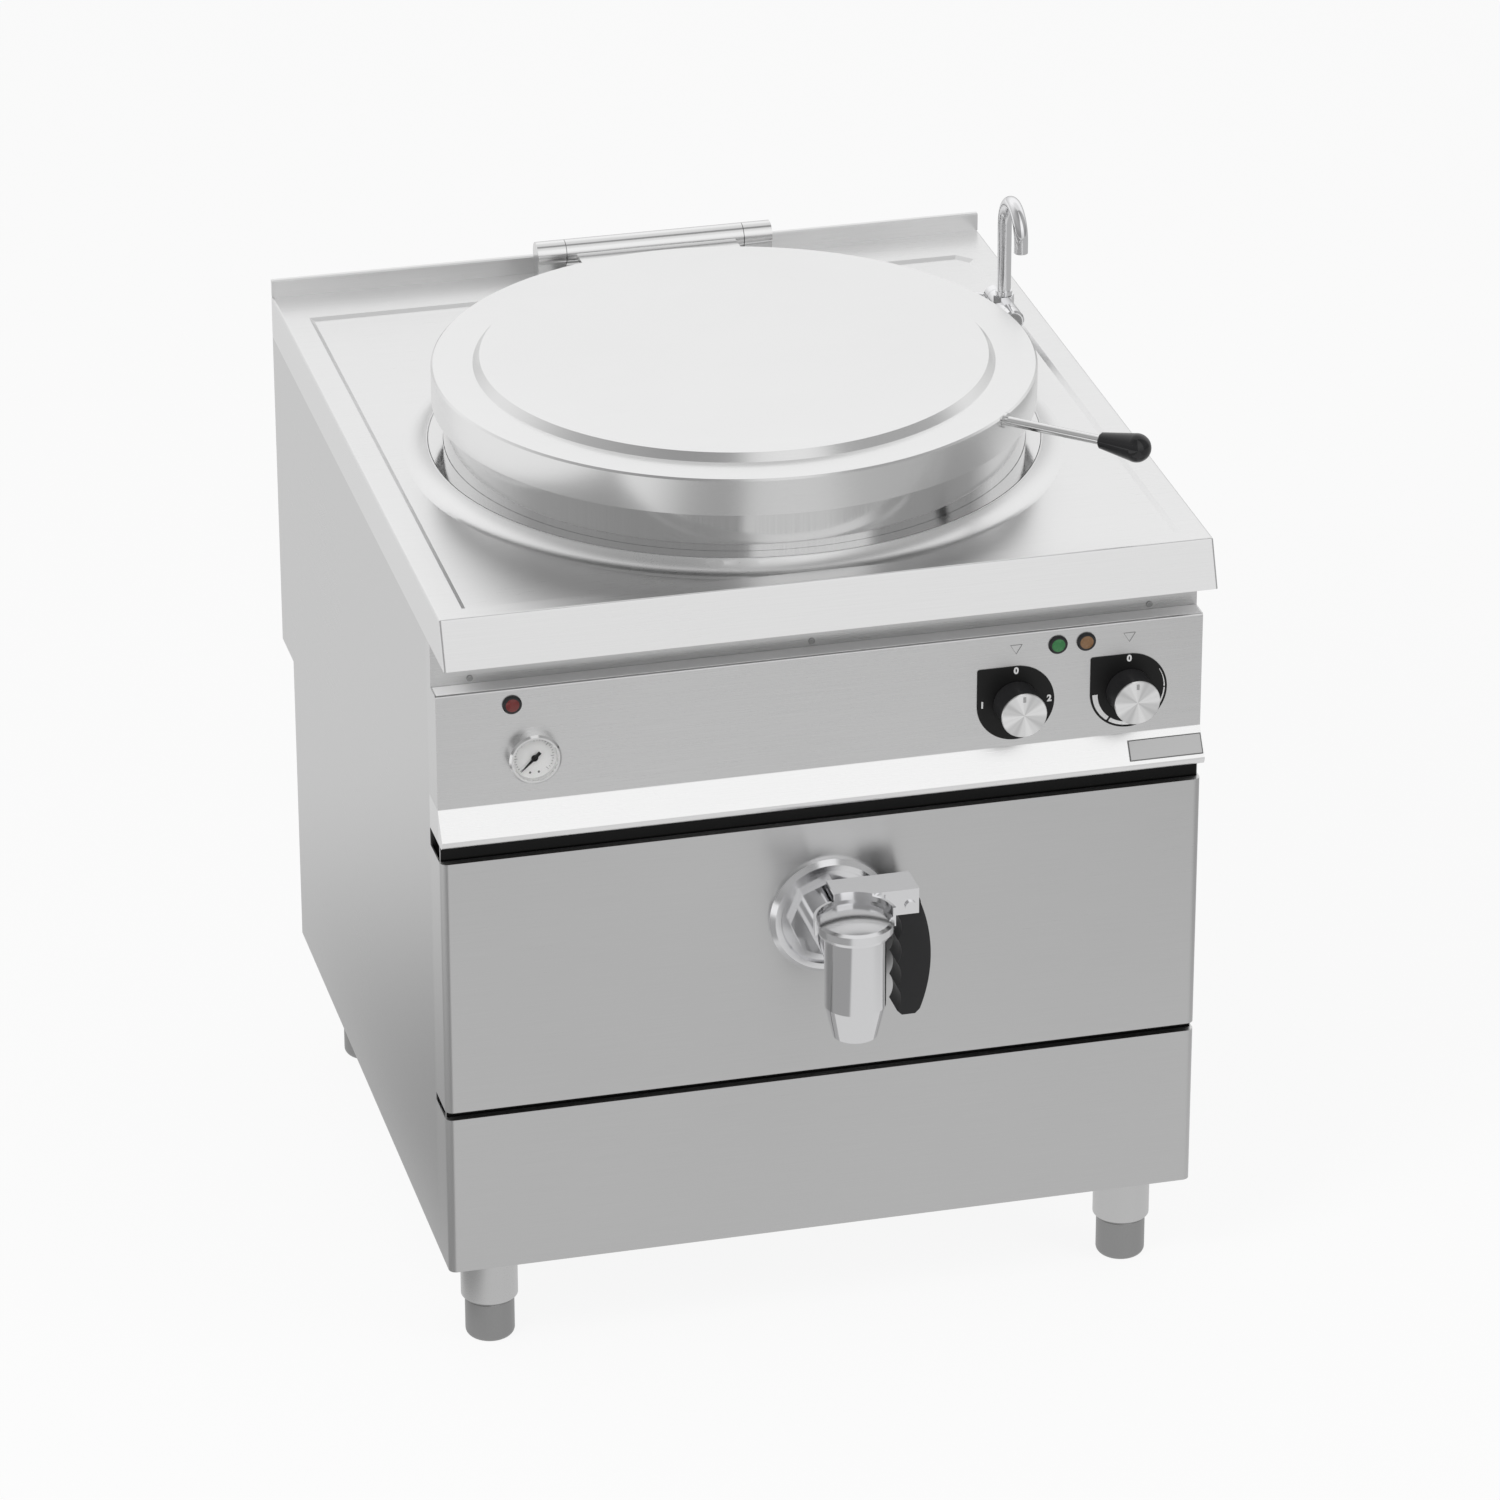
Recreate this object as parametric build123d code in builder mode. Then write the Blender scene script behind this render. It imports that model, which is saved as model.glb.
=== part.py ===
from build123d import *
from math import asin, atan2, cos, degrees, radians, sin, sqrt
import os

# Steam jacketed kettle: a round indirectly heated boiling pan in a free-standing cabinet on four feet.
# Millimetres. X to the right, Y to the rear, Z up. The origin is on the floor, under the middle of the
# space that the kettle takes up, from the front of its drain tap to the rear of its cabinet.

os.makedirs("parts", exist_ok=True)

# ---------------------------------------------------------------- driving dimensions
# cabinet
worktop_height = 865
base_height = 115
sheet = 1.5
panel_return = 18
tray_corner = 8
tray_flange = 11
tray_upturn = 25

# worktop
top_sheet = 2
skirt_height = 48
lip_slope = 20
lip_return = 20
lip_bend = 2.5
recess_depth = 3
recess_side = 28
recess_front = 22
recess_rear = 72
recess_slope = 5
recess_corner = 16
upstand_height = 20
upstand_thickness = 6

# front: heights from the worktop down, and set-backs from the top edge of the lip
rail_height = 47.5
control_face_height = 126
control_slope_height = 28.5
control_nose_height = 9
upper_gap = 20
upper_panel_height = 284
lower_gap = 8.5
control_face = 26.5
control_nose = 8
control_edge = 3
control_nose_round = 7
rail_set_back = 48.5
front_panel_set_back = 17
tray_joint = 67

# rear step
rear_step_height = 453
rear_step_depth = 63

# pan
pan_x = -8
vessel_radius = 300
vessel_side_room = 100
vessel_front_room = 62
vessel_rear_room = 213
vessel_wall = 3
vessel_depth = 487
vessel_corner = 30
neck_height = 79
rim_overhang = 1
jacket_gap = 15
jacket_wall = 3
jacket_depth = 72
jacket_below_rail = 9.5
insulation_thickness = 10
collar_width = 18
collar_height = 13
collar_flank = 24
collar_gutter = 24
neck_gap = 3

# lid
lid_overhang = 11.5
lid_sheet = 1.5
lid_rise = 13.5
lid_skirt = 39
lid_edge = 2
crown_rise = 8
crown_set_in = 50.5
crown_slope = 7
slope_shift = 1
liner_drop = 15
liner_gap = 12
lid_seat_gap = 0.4

# lid hinge
hinge_gap = 37
hinge_rise = 3
hinge_tube_diameter = 28
hinge_tube_half = 98
hinge_sleeve_length = 31
hinge_shaft_diameter = 16
hinge_play = 0.3
hinge_joint = 0.8
hinge_plate = 5
hinge_plate_set_in = 10
hinge_plate_lap = 50
sleeve_foot_margin = 4
sleeve_foot_thickness = 4

# lid handle
handle_direction = -43
handle_drop = 5.5
handle_rod_diameter = 10
handle_rod_length = 108
handle_knob_length = 56
handle_knob_diameter = 30
handle_knob_neck = 17
handle_knob_edge = 1.5
handle_knob_sweep = 105
handle_collar_diameter = 16
handle_collar_length = 3

# drain tap
drain_x = 4
drain_rise = 24
drain_bore = 50
drain_pipe_wall = 3
tap_reach = 105
tap_cap_diameter = 79
tap_body_diameter = 63
tap_mouth_diameter = 46
tap_top_rise = 49
tap_cap_height = 19
tap_cap_dome = 5
tap_cap_bevel = 4
tap_shoulder_drop = 51
tap_mouth_drop = 86
tap_flange_diameter = 128
tap_flange_thickness = 9
flange_bevel = 5
flange_rim = 11
flange_step = 2
tap_nut_sides = 8
tap_nut_diameter = 88
tap_nut_thickness = 9
tap_wall = 5
plug_play = 0.3
plug_wall_step = 1
branch_wall = 2

# drain tap lever
strap_thickness = 3
strap_rise = 6
strap_band_top = -2
strap_band = 16
strap_near = 33
strap_far = 70
strap_start = -12
strap_end = 75
strap_flange = 28
lever_reach = 66
lever_pin_diameter = 8
lever_pin_drop = 19
grip_top_width = 24
grip_length = 126
grip_belly = 11
grip_corner = 5
grip_side_play = 1
grip_lobes = 4
grip_lobe_depth = 4

# lamps and pressure gauge
lamp_below_rail = 17.5
lamp_diameter = 20
lamp_lens_diameter = 14
lamp_stand_out = 3
lamp_bevel = 1.5
lamp_lens_rise = 1.5
lamp_wall = 1
lamp_depth = 34
lamp_lens_depth = 5
red_lamp_side = 78
green_lamp_side = 154
amber_lamp_side = 124
gauge_side = 99
gauge_below_rail = 76.5
gauge_diameter = 54
gauge_stand_out = 12
gauge_depth = 38
gauge_needle_length = 20
gauge_needle_tail = 8
gauge_needle_width = 3.4
gauge_needle_hub = 7
gauge_needle_turn = 225
needle_shaft_radius = 1.2
gauge_bezel = 4
gauge_dial_depth = 8
gauge_glass_depth = 1.5
gauge_leaf = 1
gauge_flange = 3

# switches
knob_below_rail = 77.5
selector_side = 198
power_side = 78
knob_diameter = 48
knob_height = 33
knob_cap_thickness = 2
knob_waist = 1
knob_edge = 2
knob_lift = 0.6
knob_mark_width = 3
knob_mark_length = 6
knob_shaft_diameter = 8
dial_plate_radius = 41
dial_plate_thickness = 0.8
dial_plate_corner = 3
switch_width = 42
switch_depth = 48
switch_corner = 3

# mixer tap
mixer_side = 52
mixer_from_lip = 585
mixer_bar_rise = 27
mixer_bar_diameter = 24
mixer_bar_half = 26
mixer_base_diameter = 34
mixer_base_thickness = 4
mixer_hole_diameter = 22
mixer_tail_diameter = 20
mixer_tail_length = 60
mixer_pillar_diameter = 28
bonnet_diameter = 24
bonnet_length = 14
bonnet_bevel = 2
spout_diameter = 15
spout_bend = 31
spout_rise = 100
spout_drop = 12
lever_rod_diameter = 6
lever_ball_diameter = 10
front_lever_side = 0
front_lever_reach = 61
front_lever_drop = 16
rear_lever_side = -25
rear_lever_reach = 32
rear_lever_drop = 6
spout_wall = 2
spout_collar = 1.5
spout_collar_height = 5
spout_nut = 4
valve_play = 0.3
mixer_nut_height = 8

# feet and frame
foot_inset = 55
foot_front = 84
foot_rear = 85
leg_diameter = 60
leg_bottom = 46
leg_bevel = 3
foot_diameter = 52
foot_stem_diameter = 20
foot_stem_length = 52
foot_play = 0.3
foot_sole_round = 7
foot_neck_round = 2
frame_tube = 40
frame_wall = 2

# heating elements
element_diameter = 8.5
element_pitch = 42
element_loops = 3
element_half_width = 12
element_reach = 190
element_height = 30
element_flange_diameter = 190
element_flange_thickness = 10

# connections at the rear
inlet_height = 200
inlet_spacing = 120
inlet_x = 200
inlet_diameter = 21
inlet_bore = 15
inlet_length = 30
inlet_nut_width = 32
inlet_nut_thickness = 6
inlet_plate_width = 183
inlet_plate_height = 52
inlet_plate_corner = 8
gland_x = -220
gland_height = 180
gland_diameter = 30
gland_bore = 18
gland_length = 28
gland_nut_length = 9
gland_bevel = 3

# ---------------------------------------------------------------- places worked out from them
half_width = vessel_radius + vessel_side_room
cabinet_width = 2 * half_width
cabinet_depth = lip_slope + vessel_front_room + 2 * vessel_radius + vessel_rear_room
overall_depth = cabinet_depth + tap_reach
front_y = tap_reach - overall_depth / 2
rear_y = front_y + cabinet_depth
lip_y = front_y + lip_slope
skirt_z = worktop_height - skirt_height
tray_y = lip_y + tray_joint
panel_y = lip_y + front_panel_set_back
control_y = lip_y + control_face
nose_y = lip_y + control_nose
rail_y = lip_y + rail_set_back
step_y = rear_y - rear_step_depth
recess_z = worktop_height - recess_depth
worktop_under = recess_z - top_sheet
control_top = skirt_z - rail_height
control_face_bottom = control_top - control_face_height
control_nose_z = control_face_bottom - control_slope_height
control_bottom = control_nose_z - control_nose_height
upper_panel_top = control_bottom - upper_gap
upper_panel_bottom = upper_panel_top - upper_panel_height
lower_panel_top = upper_panel_bottom - lower_gap

pan_y = lip_y + vessel_front_room + vessel_radius
pan_plane = Plane(origin=(pan_x, pan_y, 0), x_dir=(1, 0, 0), z_dir=(0, -1, 0))
pan_axis = Axis((pan_x, pan_y, 0), (0, 0, 1))
vessel_outer = vessel_radius + vessel_wall
rim_z = worktop_height + neck_height
vessel_floor = rim_z - vessel_depth
jacket_inner = vessel_outer + jacket_gap
jacket_outer = jacket_inner + jacket_wall
jacket_floor = vessel_floor - jacket_depth
jacket_top = control_top - jacket_below_rail
insulation_outer = jacket_outer + insulation_thickness
insulation_top = jacket_top - insulation_thickness
neck_radius = vessel_outer + neck_gap
collar_radius = vessel_outer + collar_width
collar_z = recess_z + collar_height
gutter_z = collar_z - collar_gutter

lid_radius = vessel_outer + lid_overhang
lid_rim_z = rim_z + lid_rise
crown_radius = lid_radius - crown_set_in
liner_radius = vessel_radius - liner_gap
handle_z = lid_rim_z - handle_drop
hinge_y = pan_y + collar_radius + hinge_gap
hinge_z = rim_z + hinge_rise
hinge_plane = Plane(origin=(pan_x, hinge_y, hinge_z), x_dir=(0, 1, 0), z_dir=(1, 0, 0))
hinge_tube_radius = hinge_tube_diameter / 2

tap_y = front_y - tap_reach + tap_cap_diameter / 2
tap_axis = Axis((drain_x, tap_y, 0), (0, 0, 1))
tap_plane = Plane(origin=(drain_x, tap_y, 0), x_dir=(1, 0, 0), z_dir=(0, -1, 0))
drain_pipe_radius = drain_bore / 2 + drain_pipe_wall
drain_z = vessel_floor + drain_rise
tap_top_z = drain_z + tap_top_rise
tap_shoulder_z = drain_z - tap_shoulder_drop
tap_mouth_z = drain_z - tap_mouth_drop
strap_z = tap_top_z + strap_rise
mixer_x = half_width - mixer_side
mixer_y = lip_y + mixer_from_lip
mixer_bar_z = recess_z + mixer_bar_rise
lamp_z = control_top - lamp_below_rail
red_lamp_x = red_lamp_side - half_width
green_lamp_x = half_width - green_lamp_side
amber_lamp_x = half_width - amber_lamp_side
gauge_x = gauge_side - half_width
gauge_z = control_top - gauge_below_rail
selector_x = half_width - selector_side
power_x = half_width - power_side
knob_z = control_top - knob_below_rail
leg_x = half_width - foot_inset
leg_front_y = lip_y + foot_front
leg_rear_y = step_y - foot_rear
leg_places = {
    "front_left": (-leg_x, leg_front_y),
    "front_right": (leg_x, leg_front_y),
    "rear_left": (-leg_x, leg_rear_y),
    "rear_right": (leg_x, leg_rear_y),
}


def save(piece, label):
    piece.part.label = label
    export_step(piece.part, f"parts/{label}.step")


def front_plane(y, x=0, z=0):
    """A plane that faces the front, with its local x to the right and its local y up."""
    return Plane(origin=(x, y, z), x_dir=(1, 0, 0), z_dir=(0, -1, 0))


def dome_circle(rim_radius, rise):
    """Radius of a shallow dome's sphere, and the angle from its axis to its rim in degrees."""
    ball_radius = (rim_radius ** 2 + rise ** 2) / (2 * rise)
    return ball_radius, degrees(asin(rim_radius / ball_radius))


# ---------------------------------------------------------------- base frame, legs and feet
frame_front_y = tray_y + panel_return + frame_tube / 2
frame_half_width = half_width - sheet - frame_tube / 2
frame_z = base_height + sheet
frame_rear_y = step_y - sheet - frame_tube / 2
frame_middle_y = (frame_front_y + frame_rear_y) / 2
frame_half_length = (frame_rear_y - frame_front_y) / 2
leg_radius = leg_diameter / 2

with BuildPart() as base_frame:
    with BuildSketch(Plane.XY.offset(frame_z)):
        with Locations((0, frame_middle_y)):
            Rectangle(2 * frame_half_width + frame_tube, 2 * frame_half_length + frame_tube)
            Rectangle(2 * frame_half_width - frame_tube, 2 * frame_half_length - frame_tube,
                      mode=Mode.SUBTRACT)
        with Locations(*leg_places.values()):
            Rectangle(2 * foot_inset - frame_tube, 2 * foot_inset - frame_tube)
    extrude(amount=frame_tube)
    with BuildSketch(Plane.XY.offset(frame_z + frame_wall)):
        with Locations((0, frame_middle_y)):
            Rectangle(2 * frame_half_width + frame_tube - 2 * frame_wall,
                      2 * frame_half_length + frame_tube - 2 * frame_wall)
            Rectangle(2 * frame_half_width - frame_tube + 2 * frame_wall,
                      2 * frame_half_length - frame_tube + 2 * frame_wall, mode=Mode.SUBTRACT)
    extrude(amount=frame_tube - 2 * frame_wall, mode=Mode.SUBTRACT)
    with BuildSketch(Plane.XY.offset(leg_bottom)):
        with Locations(*leg_places.values()):
            Circle(leg_radius)
    extrude(until=Until.NEXT)
    chamfer(base_frame.edges().filter_by(GeomType.CIRCLE).group_by(Axis.Z)[0], leg_bevel)
    with BuildSketch(Plane.XY.offset(leg_bottom)):
        with Locations(*leg_places.values()):
            Circle(foot_stem_diameter / 2 + foot_play)
    extrude(amount=frame_z + frame_tube - leg_bottom - frame_wall, mode=Mode.SUBTRACT)
save(base_frame, "base_frame")

foot_radius = foot_diameter / 2
for place, (foot_x, foot_y) in leg_places.items():
    with BuildPart() as foot:
        with BuildSketch(Plane(origin=(foot_x, foot_y, 0))):
            Circle(foot_radius)
        extrude(amount=leg_bottom)
        fillet(foot.edges().group_by(Axis.Z)[0], foot_sole_round)
        fillet(foot.edges().group_by(Axis.Z)[-1], foot_neck_round)
        with BuildSketch(Plane(origin=(foot_x, foot_y, leg_bottom))):
            Circle(foot_stem_diameter / 2)
        extrude(amount=foot_stem_length)
    save(foot, f"{place}_foot")

# ---------------------------------------------------------------- cabinet sheets
inner_width = cabinet_width - 2 * sheet

with BuildPart() as bottom_pan:
    with BuildSketch(Plane.XY.offset(base_height)):
        with Locations((0, (tray_y + sheet + step_y) / 2)):
            Rectangle(inner_width, step_y - tray_y - sheet)
        with Locations(*leg_places.values()):
            Circle(leg_radius, mode=Mode.SUBTRACT)
    extrude(amount=sheet)
save(bottom_pan, "bottom_pan")

side_outline = [
    (tray_y, base_height), (step_y, base_height), (step_y, rear_step_height),
    (rear_y, rear_step_height), (rear_y, skirt_z), (tray_y, skirt_z),
]
for side, outward in (("left", -1), ("right", 1)):
    outer_x = outward * half_width
    return_x = outward * (half_width - panel_return / 2)
    with BuildPart() as side_panel:
        with BuildSketch(Plane(origin=(outer_x, 0, 0), x_dir=(0, 1, 0), z_dir=(1, 0, 0))):
            with BuildLine():
                Polyline(*side_outline, close=True)
            make_face()
        extrude(amount=-outward * sheet)
        with BuildSketch(front_plane(tray_y, return_x, (base_height + skirt_z) / 2)):
            Rectangle(panel_return, skirt_z - base_height)
        extrude(amount=-sheet)
        with BuildSketch(Plane(origin=(return_x, (tray_y + rear_y) / 2, skirt_z))):
            Rectangle(panel_return, rear_y - tray_y)
        extrude(amount=-sheet)
    save(side_panel, f"{side}_side_panel")

with BuildPart() as rear_panel_upper:
    with BuildSketch(Plane.YZ):
        with BuildLine():
            Polyline(
                (step_y, rear_step_height), (rear_y, rear_step_height), (rear_y, skirt_z - sheet),
                (rear_y - sheet, skirt_z - sheet), (rear_y - sheet, rear_step_height + sheet),
                (step_y, rear_step_height + sheet), close=True)
        make_face()
    extrude(amount=inner_width / 2, both=True)
save(rear_panel_upper, "rear_panel_upper")

with BuildPart() as rear_panel_lower:
    with BuildSketch(front_plane(step_y, 0, (frame_z + rear_step_height) / 2)):
        Rectangle(inner_width, rear_step_height - frame_z)
        with Locations((gland_x, gland_height - (frame_z + rear_step_height) / 2)):
            Circle(gland_bore / 2 + sheet, mode=Mode.SUBTRACT)
        for inlet in (inlet_x - inlet_spacing / 2, inlet_x + inlet_spacing / 2):
            with Locations((inlet, inlet_height - (frame_z + rear_step_height) / 2)):
                Circle(inlet_diameter / 2, mode=Mode.SUBTRACT)
    extrude(amount=sheet)
    with BuildSketch(Plane(origin=(0, step_y - panel_return / 2, rear_step_height))):
        Rectangle(inner_width, panel_return)
    extrude(amount=-sheet)
save(rear_panel_lower, "rear_panel_lower")


def front_tray(low, high):
    """Outer form of a folded front panel, from its lower to its upper edge."""
    with BuildPart() as tray:
        with BuildSketch(front_plane(tray_y, 0, (low + high) / 2)):
            Rectangle(cabinet_width, high - low)
        extrude(amount=tray_y - panel_y)
        fillet(tray.edges().filter_by(Axis.Z).group_by(Axis.Y)[0], tray_corner)
        offset(amount=-sheet, openings=tray.faces().sort_by(Axis.Y)[-1])
        with BuildSketch(front_plane(tray_y, 0, (low + high) / 2)):
            Rectangle(cabinet_width - 2 * sheet, high - low)
        extrude(amount=tray_joint - front_panel_set_back - tray_flange, mode=Mode.SUBTRACT)
        with BuildSketch(front_plane(panel_y + tray_flange + sheet, 0, high + tray_upturn / 2 - sheet / 2)):
            Rectangle(cabinet_width - 2 * sheet, tray_upturn + sheet)
        extrude(amount=sheet)
    return tray.part


with BuildPart() as lower_front_panel:
    add(front_tray(base_height, lower_panel_top))
save(lower_front_panel, "lower_front_panel")

with BuildPart() as upper_front_panel:
    add(front_tray(upper_panel_bottom, upper_panel_top))
    with BuildSketch(front_plane(tray_y, drain_x, drain_z)):
        Circle(drain_pipe_radius)
    extrude(amount=tray_joint, mode=Mode.SUBTRACT)
save(upper_front_panel, "upper_front_panel")

# ---------------------------------------------------------------- control panel and the rail above it
lamp_places = {"red": red_lamp_x, "green": green_lamp_x, "amber": amber_lamp_x}
lamp_stem_radius = lamp_lens_diameter / 2 + lamp_wall
gauge_body_radius = gauge_diameter / 2 - gauge_flange

with BuildPart() as control_panel:
    with BuildSketch(Plane.YZ):
        with BuildLine():
            Polyline(
                (tray_y, control_top), (control_y, control_top), (control_y, control_face_bottom),
                (nose_y, control_nose_z), (nose_y, control_bottom), (tray_y, control_bottom),
                close=True)
        make_face()
    extrude(amount=half_width, both=True)
    along = control_panel.edges().filter_by(Axis.X)
    fillet(along.filter_by_position(Axis.Y, nose_y - 1, nose_y + 1).sort_by(Axis.Z)[0], control_nose_round)
    fillet(along.filter_by_position(Axis.Y, control_y - 1, control_y + 1).sort_by(Axis.Z)[-1], control_edge)
    offset(amount=-sheet, openings=control_panel.faces().sort_by(Axis.Y)[-1])
    with BuildSketch(front_plane(tray_y, 0, (control_top + control_bottom) / 2)):
        Rectangle(cabinet_width - 2 * sheet, control_top - control_bottom)
    extrude(amount=tray_y - rail_y - sheet, mode=Mode.SUBTRACT)
    with BuildSketch(front_plane(tray_y, 0, control_bottom)):
        Rectangle(cabinet_width - 2 * sheet, 2 * control_edge)
    extrude(amount=tray_y - nose_y - panel_return, mode=Mode.SUBTRACT)
    with BuildSketch(front_plane(tray_y)):
        for lamp_x in lamp_places.values():
            with Locations((lamp_x, lamp_z)):
                Circle(lamp_stem_radius)
        with Locations((gauge_x, gauge_z)):
            Circle(gauge_body_radius)
        with Locations((selector_x, knob_z), (power_x, knob_z)):
            Circle(knob_shaft_diameter / 2 + hinge_play)
    extrude(amount=tray_joint, mode=Mode.SUBTRACT)
save(control_panel, "control_panel")

rail_tongue_z = gutter_z - top_sheet
with BuildPart() as control_rail:
    with BuildSketch(front_plane(tray_y, 0, (control_top + skirt_z) / 2)):
        Rectangle(cabinet_width, skirt_z - control_top)
    extrude(amount=tray_y - rail_y)
    offset(amount=-sheet, openings=control_rail.faces().sort_by(Axis.Y)[-1])
    with BuildSketch(front_plane(tray_y, 0, (control_top + skirt_z) / 2)):
        Rectangle(cabinet_width - 2 * sheet, skirt_z - control_top)
    extrude(amount=tray_y - rail_y - sheet, mode=Mode.SUBTRACT)
    with BuildSketch(front_plane(rail_y + sheet, 0, (skirt_z + rail_tongue_z) / 2)):
        Rectangle(cabinet_width - 2 * top_sheet, rail_tongue_z - skirt_z)
    extrude(amount=sheet)
save(control_rail, "control_rail")

# ---------------------------------------------------------------- worktop
lip_tilt = lip_slope / skirt_height
lip_thickness = top_sheet * sqrt(1 + lip_tilt ** 2)
recess_half_width = half_width - recess_side
recess_near = lip_y + recess_front
recess_far = rear_y - recess_rear
recess_middle = (recess_near + recess_far) / 2
recess_taper = degrees(atan2(recess_slope, recess_depth))
collar_foot = collar_radius + collar_flank
collar_edge = top_sheet / 2
flank_bend = collar_flank + 2 * top_sheet


def lip_line(z, inset):
    """How far forward the sloped lip lies at a height, less an inset."""
    return lip_y - (worktop_height - z) * lip_tilt + inset


with BuildPart() as worktop:
    with BuildSketch(Plane.YZ):
        with BuildLine():
            Polyline(
                (rear_y, worktop_height), (lip_line(worktop_height, 0), worktop_height),
                (lip_line(skirt_z, 0), skirt_z), (rear_y, skirt_z), close=True)
        make_face()
    extrude(amount=half_width, both=True)
    top_edges = worktop.edges().group_by(Axis.Z)[-1]
    lip_corners = worktop.edges().filter_by(Axis.Y, reverse=True).filter_by(Axis.X, reverse=True)
    fillet(top_edges.sort_by(Axis.Y)[:-1] + lip_corners.group_by(Axis.Y)[0], lip_bend)
    with BuildSketch(Plane.YZ):
        with BuildLine():
            Polyline(
                (rear_y - top_sheet, worktop_under), (lip_line(worktop_under, lip_thickness), worktop_under),
                (lip_line(skirt_z + top_sheet, lip_thickness), skirt_z + top_sheet),
                (front_y + lip_return, skirt_z + top_sheet), (front_y + lip_return, skirt_z),
                (rear_y - top_sheet, skirt_z), close=True)
        make_face()
    extrude(amount=half_width - top_sheet, both=True, mode=Mode.SUBTRACT)
    with BuildSketch(Plane(origin=(0, recess_middle, worktop_height))) as recess:
        Rectangle(2 * recess_half_width, recess_far - recess_near)
        chamfer(recess.vertices().group_by(Axis.Y)[-1].sort_by(Axis.X)[-1], recess_corner)
    extrude(amount=-recess_depth, taper=recess_taper, mode=Mode.SUBTRACT)
    with BuildSketch(Plane(origin=(pan_x, pan_y, worktop_under))):
        Circle(collar_foot - collar_edge)
    extrude(amount=top_sheet, mode=Mode.SUBTRACT)
    with BuildSketch(pan_plane):
        with BuildLine():
            RadiusArc((collar_foot, recess_z), (collar_radius, collar_z - collar_edge), flank_bend)
            ThreePointArc(
                (collar_radius, collar_z - collar_edge), (collar_radius - collar_edge, collar_z),
                (collar_radius - top_sheet, collar_z - collar_edge))
            Polyline(
                (collar_radius - top_sheet, collar_z - collar_edge), (collar_radius - top_sheet, gutter_z),
                (neck_radius, gutter_z), (neck_radius, gutter_z - top_sheet),
                (collar_radius, gutter_z - top_sheet), (collar_radius, worktop_under),
                (collar_foot, worktop_under), (collar_foot, recess_z))
        make_face()
    revolve(axis=pan_axis)
    with BuildSketch(Plane(origin=(mixer_x, mixer_y, worktop_under))):
        Circle(mixer_hole_diameter / 2)
    extrude(amount=top_sheet, mode=Mode.SUBTRACT)
save(worktop, "worktop")

with BuildPart() as rear_upstand:
    with BuildSketch(Plane(origin=(0, rear_y - upstand_thickness / 2, worktop_height))):
        Rectangle(cabinet_width, upstand_thickness)
    extrude(amount=upstand_height)
    chamfer(rear_upstand.edges().filter_by(Axis.X).group_by(Axis.Z)[-1].sort_by(Axis.Y)[0], sheet)
save(rear_upstand, "rear_upstand")

# ---------------------------------------------------------------- vessel, jacket, insulation
with BuildPart() as vessel:
    with BuildSketch(pan_plane) as vessel_section:
        with BuildLine():
            Polyline(
                (0, vessel_floor - vessel_wall), (vessel_outer, vessel_floor - vessel_wall),
                (vessel_outer, rim_z - vessel_wall), (vessel_outer + rim_overhang, rim_z - vessel_wall),
                (vessel_outer + rim_overhang, rim_z), (vessel_radius, rim_z),
                (vessel_radius, vessel_floor), (0, vessel_floor), close=True)
        make_face()
        lower_corners = vessel_section.vertices().sort_by(Axis.Y)[:4].sort_by(Axis.X)[-2:]
        fillet(lower_corners.sort_by(Axis.X)[-1], vessel_corner + vessel_wall)
        fillet(vessel_section.vertices().filter_by_position(Axis.X, vessel_radius - 0.1, vessel_radius + 0.1)
               .sort_by(Axis.Y)[0], vessel_corner)
    revolve(axis=pan_axis)
    with BuildSketch(front_plane(pan_y, drain_x, drain_z)):
        Circle(drain_pipe_radius)
    extrude(amount=vessel_outer + vessel_wall, mode=Mode.SUBTRACT)
save(vessel, "vessel")

element_y = pan_y + element_reach - element_flange_diameter / 2 + element_half_width
element_opening = element_flange_diameter / 2 - 3 * element_flange_thickness / 2
with BuildPart() as steam_jacket:
    with BuildSketch(pan_plane):
        with BuildLine():
            Polyline(
                (0, jacket_floor - jacket_wall), (jacket_outer, jacket_floor - jacket_wall),
                (jacket_outer, jacket_top), (vessel_outer, jacket_top),
                (vessel_outer, jacket_top - jacket_wall), (jacket_inner, jacket_top - jacket_wall),
                (jacket_inner, jacket_floor), (0, jacket_floor), close=True)
        make_face()
    revolve(axis=pan_axis)
    with BuildSketch(Plane(origin=(pan_x, element_y, jacket_floor - jacket_wall))):
        Circle(element_opening)
    extrude(amount=jacket_wall, mode=Mode.SUBTRACT)
    with BuildSketch(front_plane(pan_y, drain_x, drain_z)):
        Circle(drain_pipe_radius)
    extrude(amount=jacket_outer + jacket_wall, mode=Mode.SUBTRACT)
save(steam_jacket, "steam_jacket")

with BuildPart() as insulation:
    with BuildSketch(Plane(origin=(pan_x, pan_y, jacket_floor - jacket_wall - insulation_thickness))):
        Circle(insulation_outer)
    extrude(amount=insulation_top - jacket_floor + jacket_wall + insulation_thickness)
    with BuildSketch(Plane(origin=(pan_x, pan_y, jacket_floor - jacket_wall))):
        Circle(jacket_outer)
    extrude(amount=insulation_top - jacket_floor + jacket_wall, mode=Mode.SUBTRACT)
    with BuildSketch(Plane(origin=(pan_x, element_y, jacket_floor - jacket_wall))):
        Circle(element_flange_diameter / 2)
    extrude(amount=-insulation_thickness, mode=Mode.SUBTRACT)
    with BuildSketch(front_plane(pan_y, drain_x, drain_z)):
        Circle(drain_pipe_radius)
    extrude(amount=insulation_outer + insulation_thickness, mode=Mode.SUBTRACT)
save(insulation, "insulation")

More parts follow.
